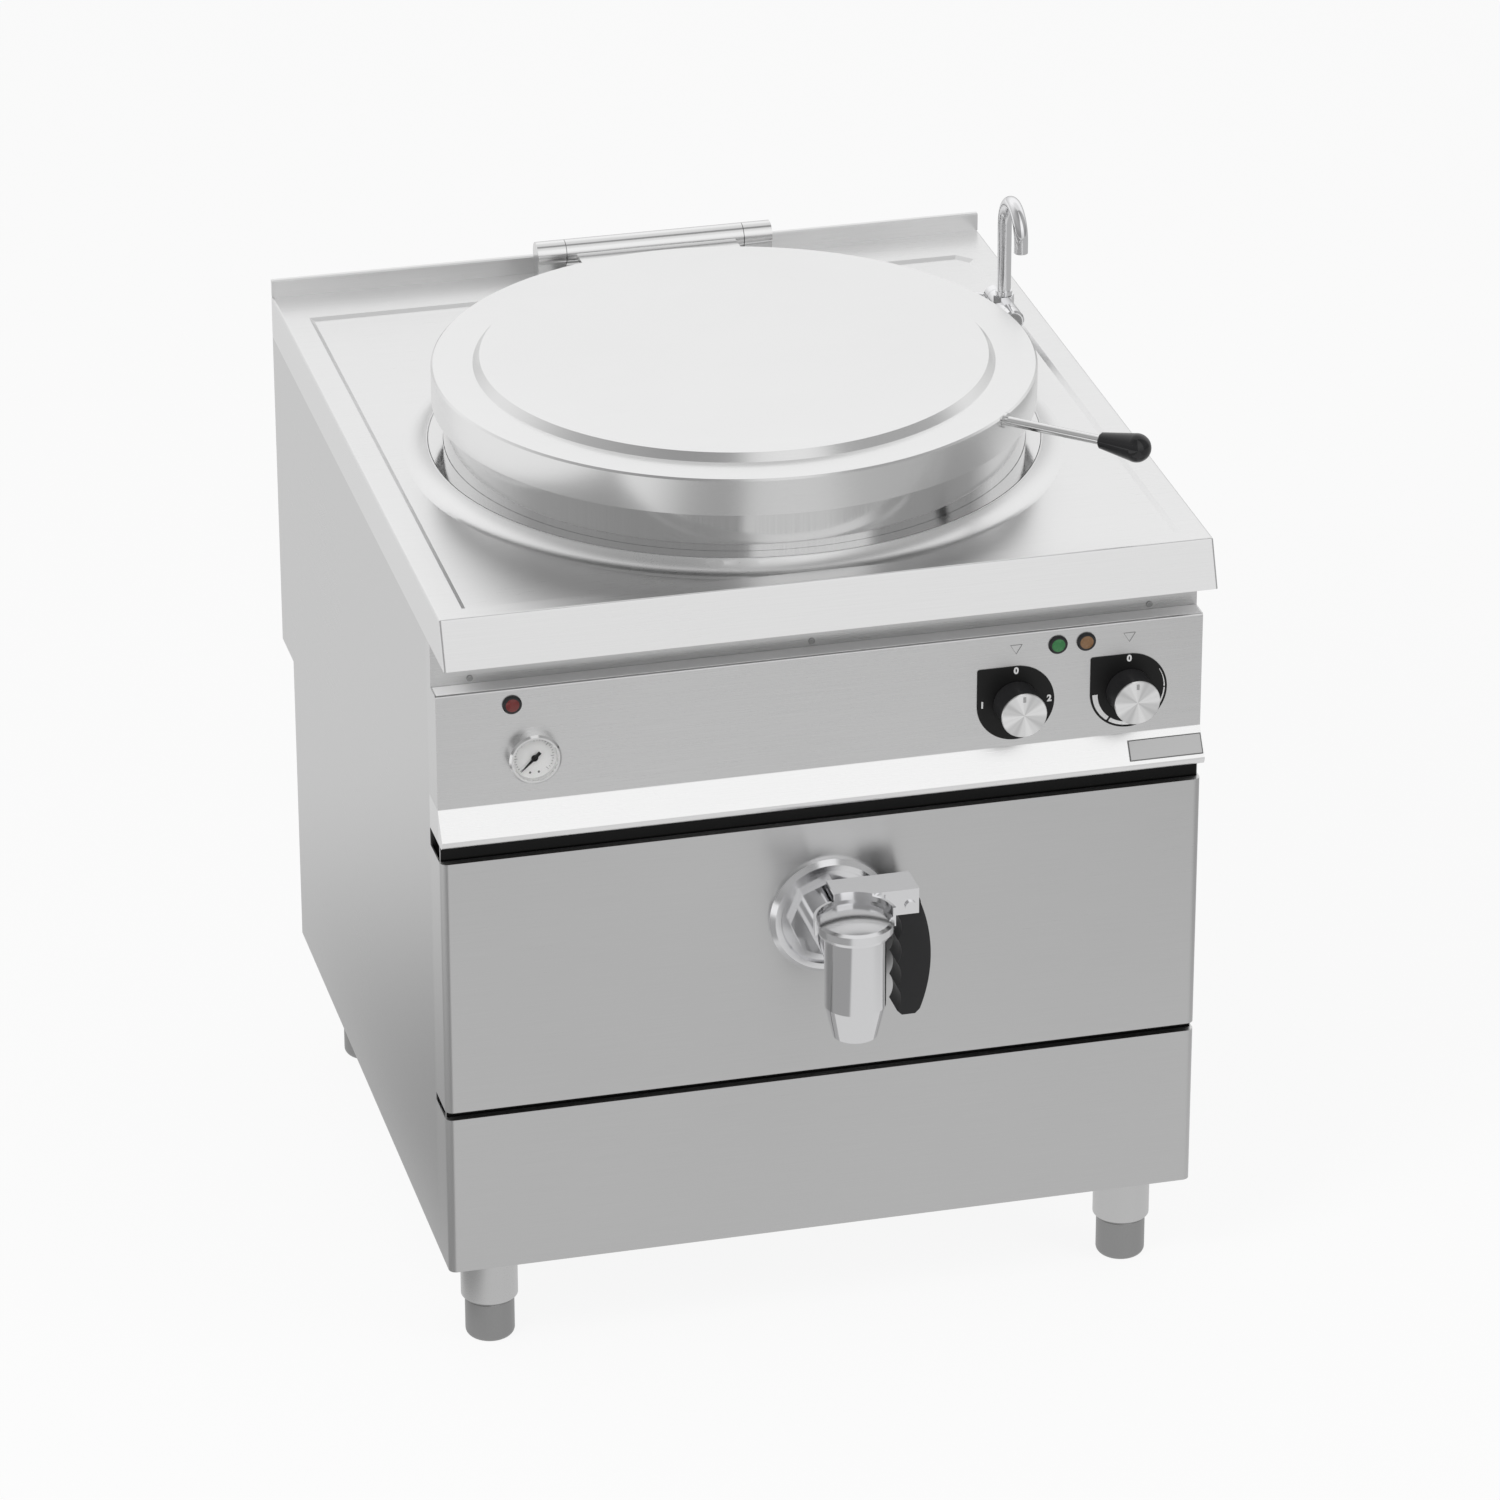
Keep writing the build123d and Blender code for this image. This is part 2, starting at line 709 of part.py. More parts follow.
element_z = jacket_floor + element_height
with BuildPart() as heating_elements:
    with BuildSketch(Plane(origin=(pan_x, element_y, jacket_floor - jacket_wall))):
        Circle(element_flange_diameter / 2)
    extrude(amount=-element_flange_thickness)
    for loop in range(element_loops):
        loop_x = pan_x + (loop - (element_loops - 1) / 2) * element_pitch
        left, right = loop_x - element_half_width, loop_x + element_half_width
        start_z = jacket_floor - jacket_wall - element_flange_thickness / 2
        with BuildLine() as hairpin:
            FilletPolyline(
                (left, element_y, start_z), (left, element_y, element_z),
                (left, pan_y - element_reach, element_z), (right, pan_y - element_reach, element_z),
                (right, element_y, element_z), (right, element_y, start_z),
                radius=element_half_width - 1)
        with BuildSketch(Plane(origin=(left, element_y, start_z))):
            Circle(element_diameter / 2)
        sweep(path=hairpin.line)
save(heating_elements, "heating_elements")

# ---------------------------------------------------------------- drain pipe and tap
tap_bore = drain_bore / 2
tap_body_radius = tap_body_diameter / 2
tap_seat_z = tap_shoulder_z + tap_wall
cap_bottom_z = tap_top_z - tap_cap_height
cap_ceiling_z = cap_bottom_z + tap_wall
cap_radius = tap_cap_diameter / 2
plug_radius = tap_body_radius - tap_wall

with BuildPart() as drain_pipe:
    with BuildSketch(front_plane(pan_y - vessel_radius + vessel_corner, drain_x, drain_z)):
        Circle(drain_pipe_radius)
    extrude(amount=pan_y - vessel_radius + vessel_corner - panel_y)
    with BuildSketch(pan_plane) as pan_inside:
        with BuildLine():
            Polyline((0, vessel_floor), (vessel_radius, vessel_floor), (vessel_radius, rim_z), (0, rim_z),
                     close=True)
        make_face()
        fillet(pan_inside.vertices().sort_by(Axis.Y)[:2].sort_by(Axis.X)[-1], vessel_corner)
    revolve(axis=pan_axis, mode=Mode.SUBTRACT)
    with BuildSketch(front_plane(pan_y - vessel_radius + vessel_corner, drain_x, drain_z)):
        Circle(tap_bore)
    extrude(amount=pan_y - panel_y, mode=Mode.SUBTRACT)
save(drain_pipe, "drain_pipe")

drain_turning = Plane(origin=(drain_x, panel_y, drain_z), x_dir=(1, 0, 0), z_dir=(0, 0, 1))
drain_axis = Axis((drain_x, panel_y, drain_z), (0, 1, 0))
flange_radius = tap_flange_diameter / 2
with BuildPart() as drain_flange:
    with BuildSketch(drain_turning):
        with BuildLine():
            Polyline(
                (tap_bore, 0), (flange_radius, 0), (flange_radius, -tap_flange_thickness + flange_bevel),
                (flange_radius - flange_bevel, -tap_flange_thickness),
                (flange_radius - flange_rim, -tap_flange_thickness),
                (flange_radius - flange_rim - flange_step, -tap_flange_thickness / 2),
                (tap_bore, -tap_flange_thickness / 2), close=True)
        make_face()
    revolve(axis=drain_axis)
save(drain_flange, "drain_flange")

branch_length = panel_y - tap_flange_thickness / 2 - tap_y
with BuildPart() as drain_valve_body:
    with BuildSketch(tap_plane):
        with BuildLine():
            Polyline(
                (0, tap_mouth_z), (tap_mouth_diameter / 2, tap_mouth_z),
                (tap_body_radius, tap_shoulder_z), (tap_body_radius, cap_ceiling_z - plug_play),
                (0, cap_ceiling_z - plug_play), close=True)
        make_face()
    revolve(axis=tap_axis)
    with BuildSketch(front_plane(panel_y - tap_flange_thickness / 2, drain_x, drain_z)):
        RegularPolygon(tap_nut_diameter / 2, tap_nut_sides)
    extrude(amount=tap_nut_thickness)
    with BuildSketch(front_plane(panel_y - tap_flange_thickness / 2, drain_x, drain_z)):
        Circle(tap_bore + branch_wall)
    extrude(amount=branch_length)
    with BuildSketch(tap_plane):
        with BuildLine():
            Polyline(
                (0, tap_mouth_z), (tap_mouth_diameter / 2 - tap_wall, tap_mouth_z),
                (tap_mouth_diameter / 2 - tap_wall, tap_seat_z), (plug_radius + plug_play, tap_seat_z),
                (plug_radius + plug_play, cap_ceiling_z), (0, cap_ceiling_z), close=True)
        make_face()
    revolve(axis=tap_axis, mode=Mode.SUBTRACT)
    with BuildSketch(front_plane(panel_y, drain_x, drain_z)):
        Circle(tap_bore)
    extrude(amount=panel_y - tap_y, mode=Mode.SUBTRACT)
save(drain_valve_body, "drain_valve_body")

cap_ball, cap_angle = dome_circle(cap_radius - tap_cap_bevel, tap_cap_dome)
with BuildPart() as drain_valve_cap:
    with BuildSketch(tap_plane):
        with BuildLine():
            Polyline(
                (0, cap_ceiling_z), (tap_body_radius + plug_play, cap_ceiling_z),
                (tap_body_radius + plug_play, cap_bottom_z), (cap_radius - tap_cap_bevel / 2, cap_bottom_z),
                (cap_radius, cap_bottom_z + tap_cap_bevel),
                (cap_radius, tap_top_z - tap_cap_dome - tap_cap_bevel / 2),
                (cap_radius - tap_cap_bevel, tap_top_z - tap_cap_dome))
            CenterArc((0, tap_top_z - cap_ball), cap_ball, 90 - cap_angle, cap_angle)
            Line((0, tap_top_z), (0, cap_ceiling_z))
        make_face()
    revolve(axis=tap_axis)
save(drain_valve_cap, "drain_valve_cap")

outlet_bore = tap_mouth_diameter / 2 - tap_wall
plug_bore = outlet_bore - plug_wall_step
with BuildPart() as drain_valve_plug:
    with BuildSketch(Plane(origin=(drain_x, tap_y, tap_seat_z + plug_play))):
        Circle(plug_radius)
    extrude(amount=cap_ceiling_z - tap_seat_z - plug_play)
    with BuildSketch(Plane(origin=(drain_x, tap_y, tap_seat_z))):
        Circle(plug_bore)
    extrude(amount=drain_z - tap_seat_z, mode=Mode.SUBTRACT)
    with BuildSketch(Plane(origin=(drain_x, tap_y, drain_z), x_dir=(0, 1, 0), z_dir=(-1, 0, 0))):
        Circle(plug_bore + branch_wall)
    extrude(amount=tap_body_radius, mode=Mode.SUBTRACT)
save(drain_valve_plug, "drain_valve_plug")

# ---------------------------------------------------------------- drain tap lever
pin_x = drain_x + lever_reach
pin_z = strap_z - lever_pin_drop
pin_radius = lever_pin_diameter / 2

with BuildPart() as lever_strap:
    with BuildSketch(Plane(origin=(drain_x, tap_y, tap_top_z + strap_band_top))):
        Circle(cap_radius + strap_thickness)
        Circle(cap_radius, mode=Mode.SUBTRACT)
        with Locations((0, -cap_radius)):
            Rectangle(4 * cap_radius, 2 * cap_radius, mode=Mode.SUBTRACT)
    extrude(amount=-strap_band)
    with BuildSketch(Plane(origin=(drain_x, tap_y, strap_z - strap_thickness))):
        Circle(cap_radius + strap_thickness)
        Circle(cap_radius, mode=Mode.SUBTRACT)
        with Locations((strap_start - 2 * cap_radius, 0), (0, -2 * cap_radius)):
            Rectangle(4 * cap_radius, 4 * cap_radius, mode=Mode.SUBTRACT)
    extrude(amount=tap_top_z + strap_band_top - strap_z)
    with BuildSketch(Plane(origin=(drain_x, tap_y, strap_z))):
        with BuildLine():
            Polyline(
                (strap_start, strap_near - strap_thickness), (strap_end, strap_near - strap_thickness),
                (strap_end, strap_far), (strap_start, strap_far), close=True)
        make_face()
        Circle(cap_radius, mode=Mode.SUBTRACT)
    extrude(amount=-strap_thickness)
    for wall_y in (tap_y + strap_near, tap_y + strap_far):
        wall_width = strap_end - cap_radius
        with BuildSketch(front_plane(wall_y, drain_x + strap_end - wall_width / 2, strap_z - strap_flange / 2)):
            Rectangle(wall_width, strap_flange)
            with Locations((lever_reach - strap_end + wall_width / 2, strap_flange / 2 - lever_pin_drop)):
                Circle(pin_radius, mode=Mode.SUBTRACT)
        extrude(amount=strap_thickness)
save(lever_strap, "lever_strap")

with BuildPart() as lever_pin:
    with BuildSketch(front_plane(tap_y + strap_far, pin_x, pin_z)):
        Circle(pin_radius)
    extrude(amount=strap_far - strap_near + strap_thickness)
    with BuildSketch(front_plane(tap_y + strap_near - strap_thickness, pin_x, pin_z)):
        Circle(pin_radius * 1.5)
    extrude(amount=strap_thickness)
save(lever_pin, "lever_pin")

grip_depth = strap_far - strap_near - strap_thickness - 2 * grip_side_play
grip_eye = grip_top_width / 2
grip_straight = grip_length - grip_top_width / 2 - grip_corner
lobe_length = grip_straight / grip_lobes
with BuildPart() as lever_grip:
    with BuildSketch(front_plane(tap_y + strap_far - strap_thickness - grip_side_play, pin_x, pin_z)):
        with BuildLine():
            inner_edge = [
                (-grip_eye, -grip_top_width / 2 - lobe * lobe_length) for lobe in range(grip_lobes + 1)
            ]
            for top, bottom in zip(inner_edge, inner_edge[1:]):
                SagittaArc(top, bottom, grip_lobe_depth)
            Polyline(
                inner_edge[-1], (grip_corner - grip_eye, -grip_length), (grip_eye - grip_corner, -grip_length),
                (grip_eye, grip_corner - grip_length))
            ThreePointArc(
                (grip_eye, grip_corner - grip_length), (grip_eye + grip_belly, -grip_length / 2), (grip_eye, 0))
            ThreePointArc((grip_eye, 0), (0, grip_eye), (-grip_eye, 0))
            Line((-grip_eye, 0), inner_edge[0])
        make_face()
        Circle(pin_radius + plug_play, mode=Mode.SUBTRACT)
    extrude(amount=grip_depth)
save(lever_grip, "lever_grip")

# ---------------------------------------------------------------- lid
lid_under_z = lid_rim_z - lid_sheet
lid_bottom_z = lid_rim_z - lid_skirt
liner_flange_z = rim_z + lid_seat_gap
liner_bottom_z = liner_flange_z - liner_drop
crown_z = lid_rim_z + crown_rise
with BuildPart() as lid_shell:
    with BuildSketch(pan_plane):
        with BuildLine():
            Polyline(
                (0, crown_z), (crown_radius, crown_z), (crown_radius + crown_slope, lid_rim_z),
                (lid_radius - lid_edge, lid_rim_z), (lid_radius, lid_rim_z - lid_edge), (lid_radius, lid_bottom_z),
                (lid_radius - lid_sheet, lid_bottom_z), (lid_radius - lid_sheet, lid_under_z),
                (crown_radius + crown_slope - slope_shift, lid_under_z),
                (crown_radius - slope_shift, crown_z - lid_sheet),
                (0, crown_z - lid_sheet), close=True)
        make_face()
    revolve(axis=pan_axis)
save(lid_shell, "lid_shell")

with BuildPart() as lid_liner:
    with BuildSketch(pan_plane):
        with BuildLine():
            Polyline(
                (0, liner_bottom_z), (liner_radius, liner_bottom_z),
                (liner_radius + crown_slope, liner_flange_z), (lid_radius - lid_sheet, liner_flange_z),
                (lid_radius - lid_sheet, liner_flange_z + lid_sheet),
                (liner_radius + crown_slope - slope_shift, liner_flange_z + lid_sheet),
                (liner_radius - slope_shift, liner_bottom_z + lid_sheet), (0, liner_bottom_z + lid_sheet),
                close=True)
        make_face()
    revolve(axis=pan_axis)
save(lid_liner, "lid_liner")

handle_turn = radians(handle_direction)
handle_out = (cos(handle_turn), sin(handle_turn), 0)
handle_start = (pan_x + lid_radius * handle_out[0], pan_y + lid_radius * handle_out[1], handle_z)
handle_end = (
    handle_start[0] + handle_rod_length * handle_out[0],
    handle_start[1] + handle_rod_length * handle_out[1], handle_z)
with BuildPart() as lid_handle_rod:
    with BuildSketch(Plane(origin=handle_start, x_dir=(0, 0, 1), z_dir=handle_out)):
        Circle(handle_rod_diameter / 2)
    extrude(amount=handle_rod_length)
    with BuildSketch(Plane(origin=handle_start, x_dir=(0, 0, 1), z_dir=handle_out)):
        Circle(handle_collar_diameter / 2)
    extrude(amount=handle_collar_length)
save(lid_handle_rod, "lid_handle_rod")

knob_round = handle_knob_diameter / 2
handle_side = Plane(origin=handle_end, x_dir=handle_out, z_dir=(handle_out[1], -handle_out[0], 0))
with BuildPart() as lid_handle_knob:
    with BuildSketch(handle_side):
        with BuildLine():
            ball_end = CenterArc((handle_knob_length - knob_round, 0), knob_round, 0, handle_knob_sweep)
            Polyline(
                ball_end @ 1, (handle_knob_edge, handle_knob_neck / 2),
                (0, handle_knob_neck / 2 - handle_knob_edge), (0, 0), ball_end @ 0)
        make_face()
    revolve(axis=Axis(handle_end, handle_out))
save(lid_handle_knob, "lid_handle_knob")

# ---------------------------------------------------------------- lid hinge
shaft_radius = hinge_shaft_diameter / 2
hinge_end = hinge_tube_half + hinge_joint + hinge_sleeve_length
with BuildPart() as hinge_shaft:
    with BuildSketch(hinge_plane.offset(-hinge_end)):
        Circle(shaft_radius)
    extrude(amount=2 * hinge_end)
save(hinge_shaft, "hinge_shaft")

for side, outward in (("left", -1), ("right", 1)):
    near = outward * (hinge_tube_half + hinge_joint)
    sleeve_middle = pan_x + near + outward * hinge_sleeve_length / 2
    with BuildPart() as hinge_sleeve:
        with BuildSketch(Plane(origin=(sleeve_middle, hinge_y, recess_z))):
            Rectangle(hinge_sleeve_length, hinge_tube_diameter - sleeve_foot_thickness)
        extrude(amount=hinge_z - recess_z)
        with BuildSketch(Plane(origin=(sleeve_middle, hinge_y, recess_z))):
            RectangleRounded(hinge_sleeve_length + 2 * sleeve_foot_margin,
                             hinge_tube_diameter + 2 * sleeve_foot_margin, sleeve_foot_margin)
        extrude(amount=sleeve_foot_thickness)
        with BuildSketch(hinge_plane.offset(near)):
            Circle(hinge_tube_radius)
        extrude(amount=outward * hinge_sleeve_length)
        with BuildSketch(hinge_plane.offset(near)):
            Circle(shaft_radius)
        extrude(amount=outward * hinge_sleeve_length, mode=Mode.SUBTRACT)
    save(hinge_sleeve, f"{side}_hinge_sleeve")

with BuildPart() as lid_arm:
    with BuildSketch(hinge_plane.offset(-hinge_tube_half)):
        Circle(hinge_tube_radius)
    extrude(amount=2 * hinge_tube_half)
    with BuildSketch(Plane(origin=(pan_x, (pan_y + hinge_y + lid_radius) / 2, hinge_z - hinge_plate / 2))):
        Rectangle(2 * (hinge_tube_half - hinge_plate_set_in), hinge_y - pan_y - lid_radius + hinge_plate_lap)
    extrude(amount=hinge_plate)
    with BuildSketch(Plane(origin=(pan_x, pan_y, hinge_z - hinge_plate / 2))):
        Circle(lid_radius)
    extrude(amount=hinge_plate, mode=Mode.SUBTRACT)
    with BuildSketch(hinge_plane.offset(-hinge_tube_half)):
        Circle(shaft_radius + hinge_play)
    extrude(amount=2 * hinge_tube_half, mode=Mode.SUBTRACT)
save(lid_arm, "lid_arm")

# ---------------------------------------------------------------- lamps
lens_ball, lens_angle = dome_circle(lamp_lens_diameter / 2, lamp_lens_rise)
for colour, lamp_x in lamp_places.items():
    lamp_axis = Axis((lamp_x, control_y, lamp_z), (0, 1, 0))
    lamp_plane = Plane(origin=(lamp_x, control_y, lamp_z), x_dir=(1, 0, 0), z_dir=(0, 0, 1))
    with BuildPart() as lamp_holder:
        with BuildSketch(lamp_plane):
            with BuildLine():
                Polyline(
                    (lamp_lens_diameter / 2, -lamp_stand_out),
                    (lamp_diameter / 2 - lamp_bevel, -lamp_stand_out),
                    (lamp_diameter / 2, lamp_bevel - lamp_stand_out), (lamp_diameter / 2, 0),
                    (lamp_stem_radius, 0), (lamp_stem_radius, lamp_depth), (0, lamp_depth),
                    (0, lamp_lens_depth), (lamp_lens_diameter / 2, lamp_lens_depth), close=True)
            make_face()
        revolve(axis=lamp_axis)
    save(lamp_holder, f"{colour}_lamp_holder")
    with BuildPart() as lamp_lens:
        with BuildSketch(lamp_plane):
            with BuildLine():
                Polyline(
                    (0, lamp_lens_depth), (lamp_lens_diameter / 2, lamp_lens_depth),
                    (lamp_lens_diameter / 2, -lamp_stand_out))
                lens_arc = CenterArc(
                    (0, lens_ball - lamp_stand_out - lamp_lens_rise), lens_ball, -90, lens_angle)
                Line(lens_arc @ 0, (0, lamp_lens_depth))
            make_face()
        revolve(axis=lamp_axis)
    save(lamp_lens, f"{colour}_lamp_lens")

# ---------------------------------------------------------------- pressure gauge
gauge_plane = Plane(origin=(gauge_x, control_y, gauge_z), x_dir=(1, 0, 0), z_dir=(0, 0, 1))
gauge_axis = Axis((gauge_x, control_y, gauge_z), (0, 1, 0))
gauge_radius = gauge_diameter / 2
gauge_window = gauge_radius - gauge_bezel
gauge_front = -gauge_stand_out
gauge_bevel = gauge_bezel / 2
dial_front = gauge_front + gauge_dial_depth
glass_front = gauge_front + gauge_glass_depth
needle_front = dial_front - 3 * gauge_leaf
needle_hole_radius = needle_shaft_radius + plug_play
needle_cos, needle_sin = cos(radians(gauge_needle_turn)), sin(radians(gauge_needle_turn))
with BuildPart() as gauge_case:
    with BuildSketch(gauge_plane):
        with BuildLine():
            Polyline(
                (gauge_window, gauge_front), (gauge_radius - gauge_bevel, gauge_front),
                (gauge_radius, gauge_front + gauge_bevel), (gauge_radius, 0), (gauge_body_radius, 0),
                (gauge_body_radius, gauge_depth), (0, gauge_depth), (0, gauge_stand_out),
                (needle_hole_radius, gauge_stand_out), (needle_hole_radius, dial_front + gauge_leaf),
                (gauge_window, dial_front + gauge_leaf), close=True)
        make_face()
    revolve(axis=gauge_axis)
save(gauge_case, "gauge_case")

with BuildPart() as gauge_dial:
    with BuildSketch(front_plane(control_y + dial_front + gauge_leaf, gauge_x, gauge_z)):
        Circle(gauge_window)
        Circle(needle_hole_radius, mode=Mode.SUBTRACT)
    extrude(amount=gauge_leaf)
save(gauge_dial, "gauge_dial")

with BuildPart() as gauge_glass:
    with BuildSketch(front_plane(control_y + glass_front + gauge_leaf, gauge_x, gauge_z)):
        Circle(gauge_window)
    extrude(amount=gauge_leaf)
save(gauge_glass, "gauge_glass")

with BuildPart() as gauge_needle:
    with BuildSketch(front_plane(control_y + needle_front + gauge_leaf, gauge_x, gauge_z)):
        with BuildLine():
            Polyline(*[
                (along * needle_cos - across * needle_sin, along * needle_sin + across * needle_cos)
                for along, across in (
                    (-gauge_needle_tail, -gauge_needle_width / 2), (0, -gauge_needle_width / 2),
                    (gauge_needle_length, 0), (0, gauge_needle_width / 2),
                    (-gauge_needle_tail, gauge_needle_width / 2))
            ], close=True)
        make_face()
        Circle(gauge_needle_hub / 2)
    extrude(amount=gauge_leaf)
    with BuildSketch(front_plane(control_y + gauge_stand_out - gauge_leaf, gauge_x, gauge_z)):
        Circle(needle_shaft_radius)
    extrude(amount=gauge_stand_out - gauge_leaf - needle_front)
save(gauge_needle, "gauge_needle")

# ---------------------------------------------------------------- switches, dial plates and knobs
plate_front_y = control_y - dial_plate_thickness
switch_back_y = control_y + sheet + switch_depth
shaft_end_y = control_y + sheet + switch_depth / 2
shaft_hole_radius = knob_shaft_diameter / 2 + hinge_play
knob_back_y = plate_front_y - knob_lift
knob_front_y = control_y - knob_height + knob_cap_thickness
knob_radius = knob_diameter / 2
for name, body_name, knob_x in (
        ("selector", "selector_switch", selector_x), ("power", "power_regulator", power_x)):
    with BuildPart() as dial_plate:
        with BuildSketch(front_plane(control_y, knob_x, knob_z)):
            Circle(dial_plate_radius)
            with Locations((-dial_plate_radius / 2, dial_plate_radius / 2)):
                Rectangle(dial_plate_radius, dial_plate_radius)
            Circle(shaft_hole_radius, mode=Mode.SUBTRACT)
        extrude(amount=dial_plate_thickness)
        square_corner = dial_plate.edges().filter_by(Axis.Y).group_by(Axis.Z)[-1].sort_by(Axis.X)[0]
        fillet(square_corner, dial_plate_corner)
    save(dial_plate, f"{name}_plate")
    with BuildPart() as switch_body:
        with BuildSketch(front_plane(switch_back_y, knob_x, knob_z)):
            RectangleRounded(switch_width, switch_width, switch_corner)
        extrude(amount=switch_depth)
        with BuildSketch(front_plane(shaft_end_y + knob_edge, knob_x, knob_z)):
            Circle(shaft_hole_radius)
        extrude(amount=switch_depth, mode=Mode.SUBTRACT)
    save(switch_body, body_name)
    knob_plane = Plane(origin=(knob_x, 0, knob_z), x_dir=(1, 0, 0), z_dir=(0, 0, 1))
    with BuildPart() as knob:
        with BuildSketch(knob_plane):
            with BuildLine():
                Polyline(
                    (0, shaft_end_y), (knob_shaft_diameter / 2, shaft_end_y),
                    (knob_shaft_diameter / 2, knob_back_y), (knob_radius, knob_back_y),
                    (knob_radius, knob_back_y - knob_edge))
                ThreePointArc(
                    (knob_radius, knob_back_y - knob_edge),
                    (knob_radius - knob_waist, (knob_back_y + knob_front_y) / 2), (knob_radius, knob_front_y))
                Polyline((knob_radius, knob_front_y), (0, knob_front_y), (0, shaft_end_y))
            make_face()
        revolve(axis=Axis((knob_x, 0, knob_z), (0, 1, 0)))
    save(knob, f"{name}_knob")
    with BuildPart() as knob_cap:
        with BuildSketch(front_plane(knob_front_y, knob_x, knob_z)):
            Circle(knob_radius)
        extrude(amount=knob_cap_thickness)
        chamfer(knob_cap.edges().group_by(Axis.Y)[0], knob_cap_thickness / 3)
        with BuildSketch(front_plane(
                knob_front_y - knob_cap_thickness, knob_x, knob_z + knob_radius - knob_mark_length)):
            Rectangle(knob_mark_width, knob_mark_length)
        extrude(amount=-knob_cap_thickness / 4, mode=Mode.SUBTRACT)
    save(knob_cap, f"{name}_knob_cap")

# ---------------------------------------------------------------- mixer tap
bar_radius = mixer_bar_diameter / 2
bonnet_radius = bonnet_diameter / 2
spout_radius = spout_diameter / 2
spout_root_z = mixer_bar_z + bar_radius + spout_nut
spout_inner = spout_radius - spout_wall
bar_rear_y = mixer_y + mixer_bar_half
with BuildPart() as mixer_body:
    with BuildSketch(Plane(origin=(mixer_x, mixer_y, recess_z))):
        Circle(mixer_base_diameter / 2)
    extrude(amount=mixer_base_thickness)
    with BuildSketch(Plane(origin=(mixer_x, mixer_y, recess_z))):
        Circle(mixer_pillar_diameter / 2)
    extrude(amount=mixer_bar_z - recess_z)
    with BuildSketch(front_plane(bar_rear_y, mixer_x, mixer_bar_z)):
        Circle(bar_radius)
    extrude(amount=2 * mixer_bar_half)
    with BuildSketch(Plane(origin=(mixer_x, mixer_y, mixer_bar_z))):
        RegularPolygon(spout_radius + spout_nut, 6)
    extrude(amount=spout_root_z - mixer_bar_z)
    with BuildSketch(Plane(origin=(mixer_x, mixer_y, spout_root_z))):
        Circle(spout_inner + valve_play)
    extrude(amount=-bar_radius, mode=Mode.SUBTRACT)
    with BuildSketch(Plane(origin=(mixer_x, mixer_y, recess_z))):
        Circle(mixer_tail_diameter / 2)
    extrude(amount=-mixer_tail_length)
    with BuildSketch(Plane(origin=(mixer_x, mixer_y, worktop_under))):
        RegularPolygon(mixer_base_diameter / 2, 6)
    extrude(amount=-mixer_nut_height)
save(mixer_body, "mixer_body")

spout_low_z = spout_root_z + valve_play
spout_turn_z = mixer_bar_z + spout_rise
with BuildPart() as spout:
    with BuildLine() as spout_path:
        Line((mixer_x, mixer_y, spout_low_z), (mixer_x, mixer_y, spout_turn_z))
        ThreePointArc(
            (mixer_x, mixer_y, spout_turn_z), (mixer_x, mixer_y - spout_bend, spout_turn_z + spout_bend),
            (mixer_x, mixer_y - 2 * spout_bend, spout_turn_z))
        Line((mixer_x, mixer_y - 2 * spout_bend, spout_turn_z),
             (mixer_x, mixer_y - 2 * spout_bend, spout_turn_z - spout_drop))
    with BuildSketch(Plane(origin=(mixer_x, mixer_y, spout_low_z))):
        Circle(spout_radius)
        Circle(spout_inner, mode=Mode.SUBTRACT)
    sweep(path=spout_path.line)
    with BuildSketch(Plane(origin=(mixer_x, mixer_y, spout_low_z))):
        Circle(spout_radius + spout_collar)
        Circle(spout_inner, mode=Mode.SUBTRACT)
    extrude(amount=spout_collar_height)
    with BuildSketch(Plane(origin=(mixer_x, mixer_y, spout_low_z + spout_collar_height))):
        Circle(spout_inner)
        Circle(spout_inner - spout_wall, mode=Mode.SUBTRACT)
    extrude(amount=-bar_radius)
save(spout, "spout")

for end, outward, lever_side, lever_reach_out, lever_drop in (
        ("front", -1, front_lever_side, front_lever_reach, front_lever_drop),
        ("rear", 1, rear_lever_side, rear_lever_reach, rear_lever_drop)):
    bonnet_start = mixer_y + outward * (mixer_bar_half + valve_play)
    bonnet_middle = bonnet_start + outward * bonnet_length / 2
    lever_offset = (lever_side, outward * lever_reach_out, -lever_drop)
    ball_place = (mixer_x + lever_offset[0], bonnet_middle + lever_offset[1], mixer_bar_z + lever_offset[2])
    with BuildPart() as valve_lever:
        with BuildSketch(front_plane(bonnet_start, mixer_x, mixer_bar_z)):
            Circle(bonnet_radius)
        extrude(amount=-outward * bonnet_length)
        chamfer(valve_lever.edges().filter_by(GeomType.CIRCLE).sort_by(Axis.Y)[-1 if outward > 0 else 0],
                bonnet_bevel)
        with BuildSketch(Plane(origin=(mixer_x, bonnet_middle, mixer_bar_z), z_dir=lever_offset)):
            Circle(lever_rod_diameter / 2)
        extrude(amount=sqrt(sum(step * step for step in lever_offset)))
        with Locations(ball_place):
            Sphere(lever_ball_diameter / 2)
    save(valve_lever, f"{end}_valve_lever")

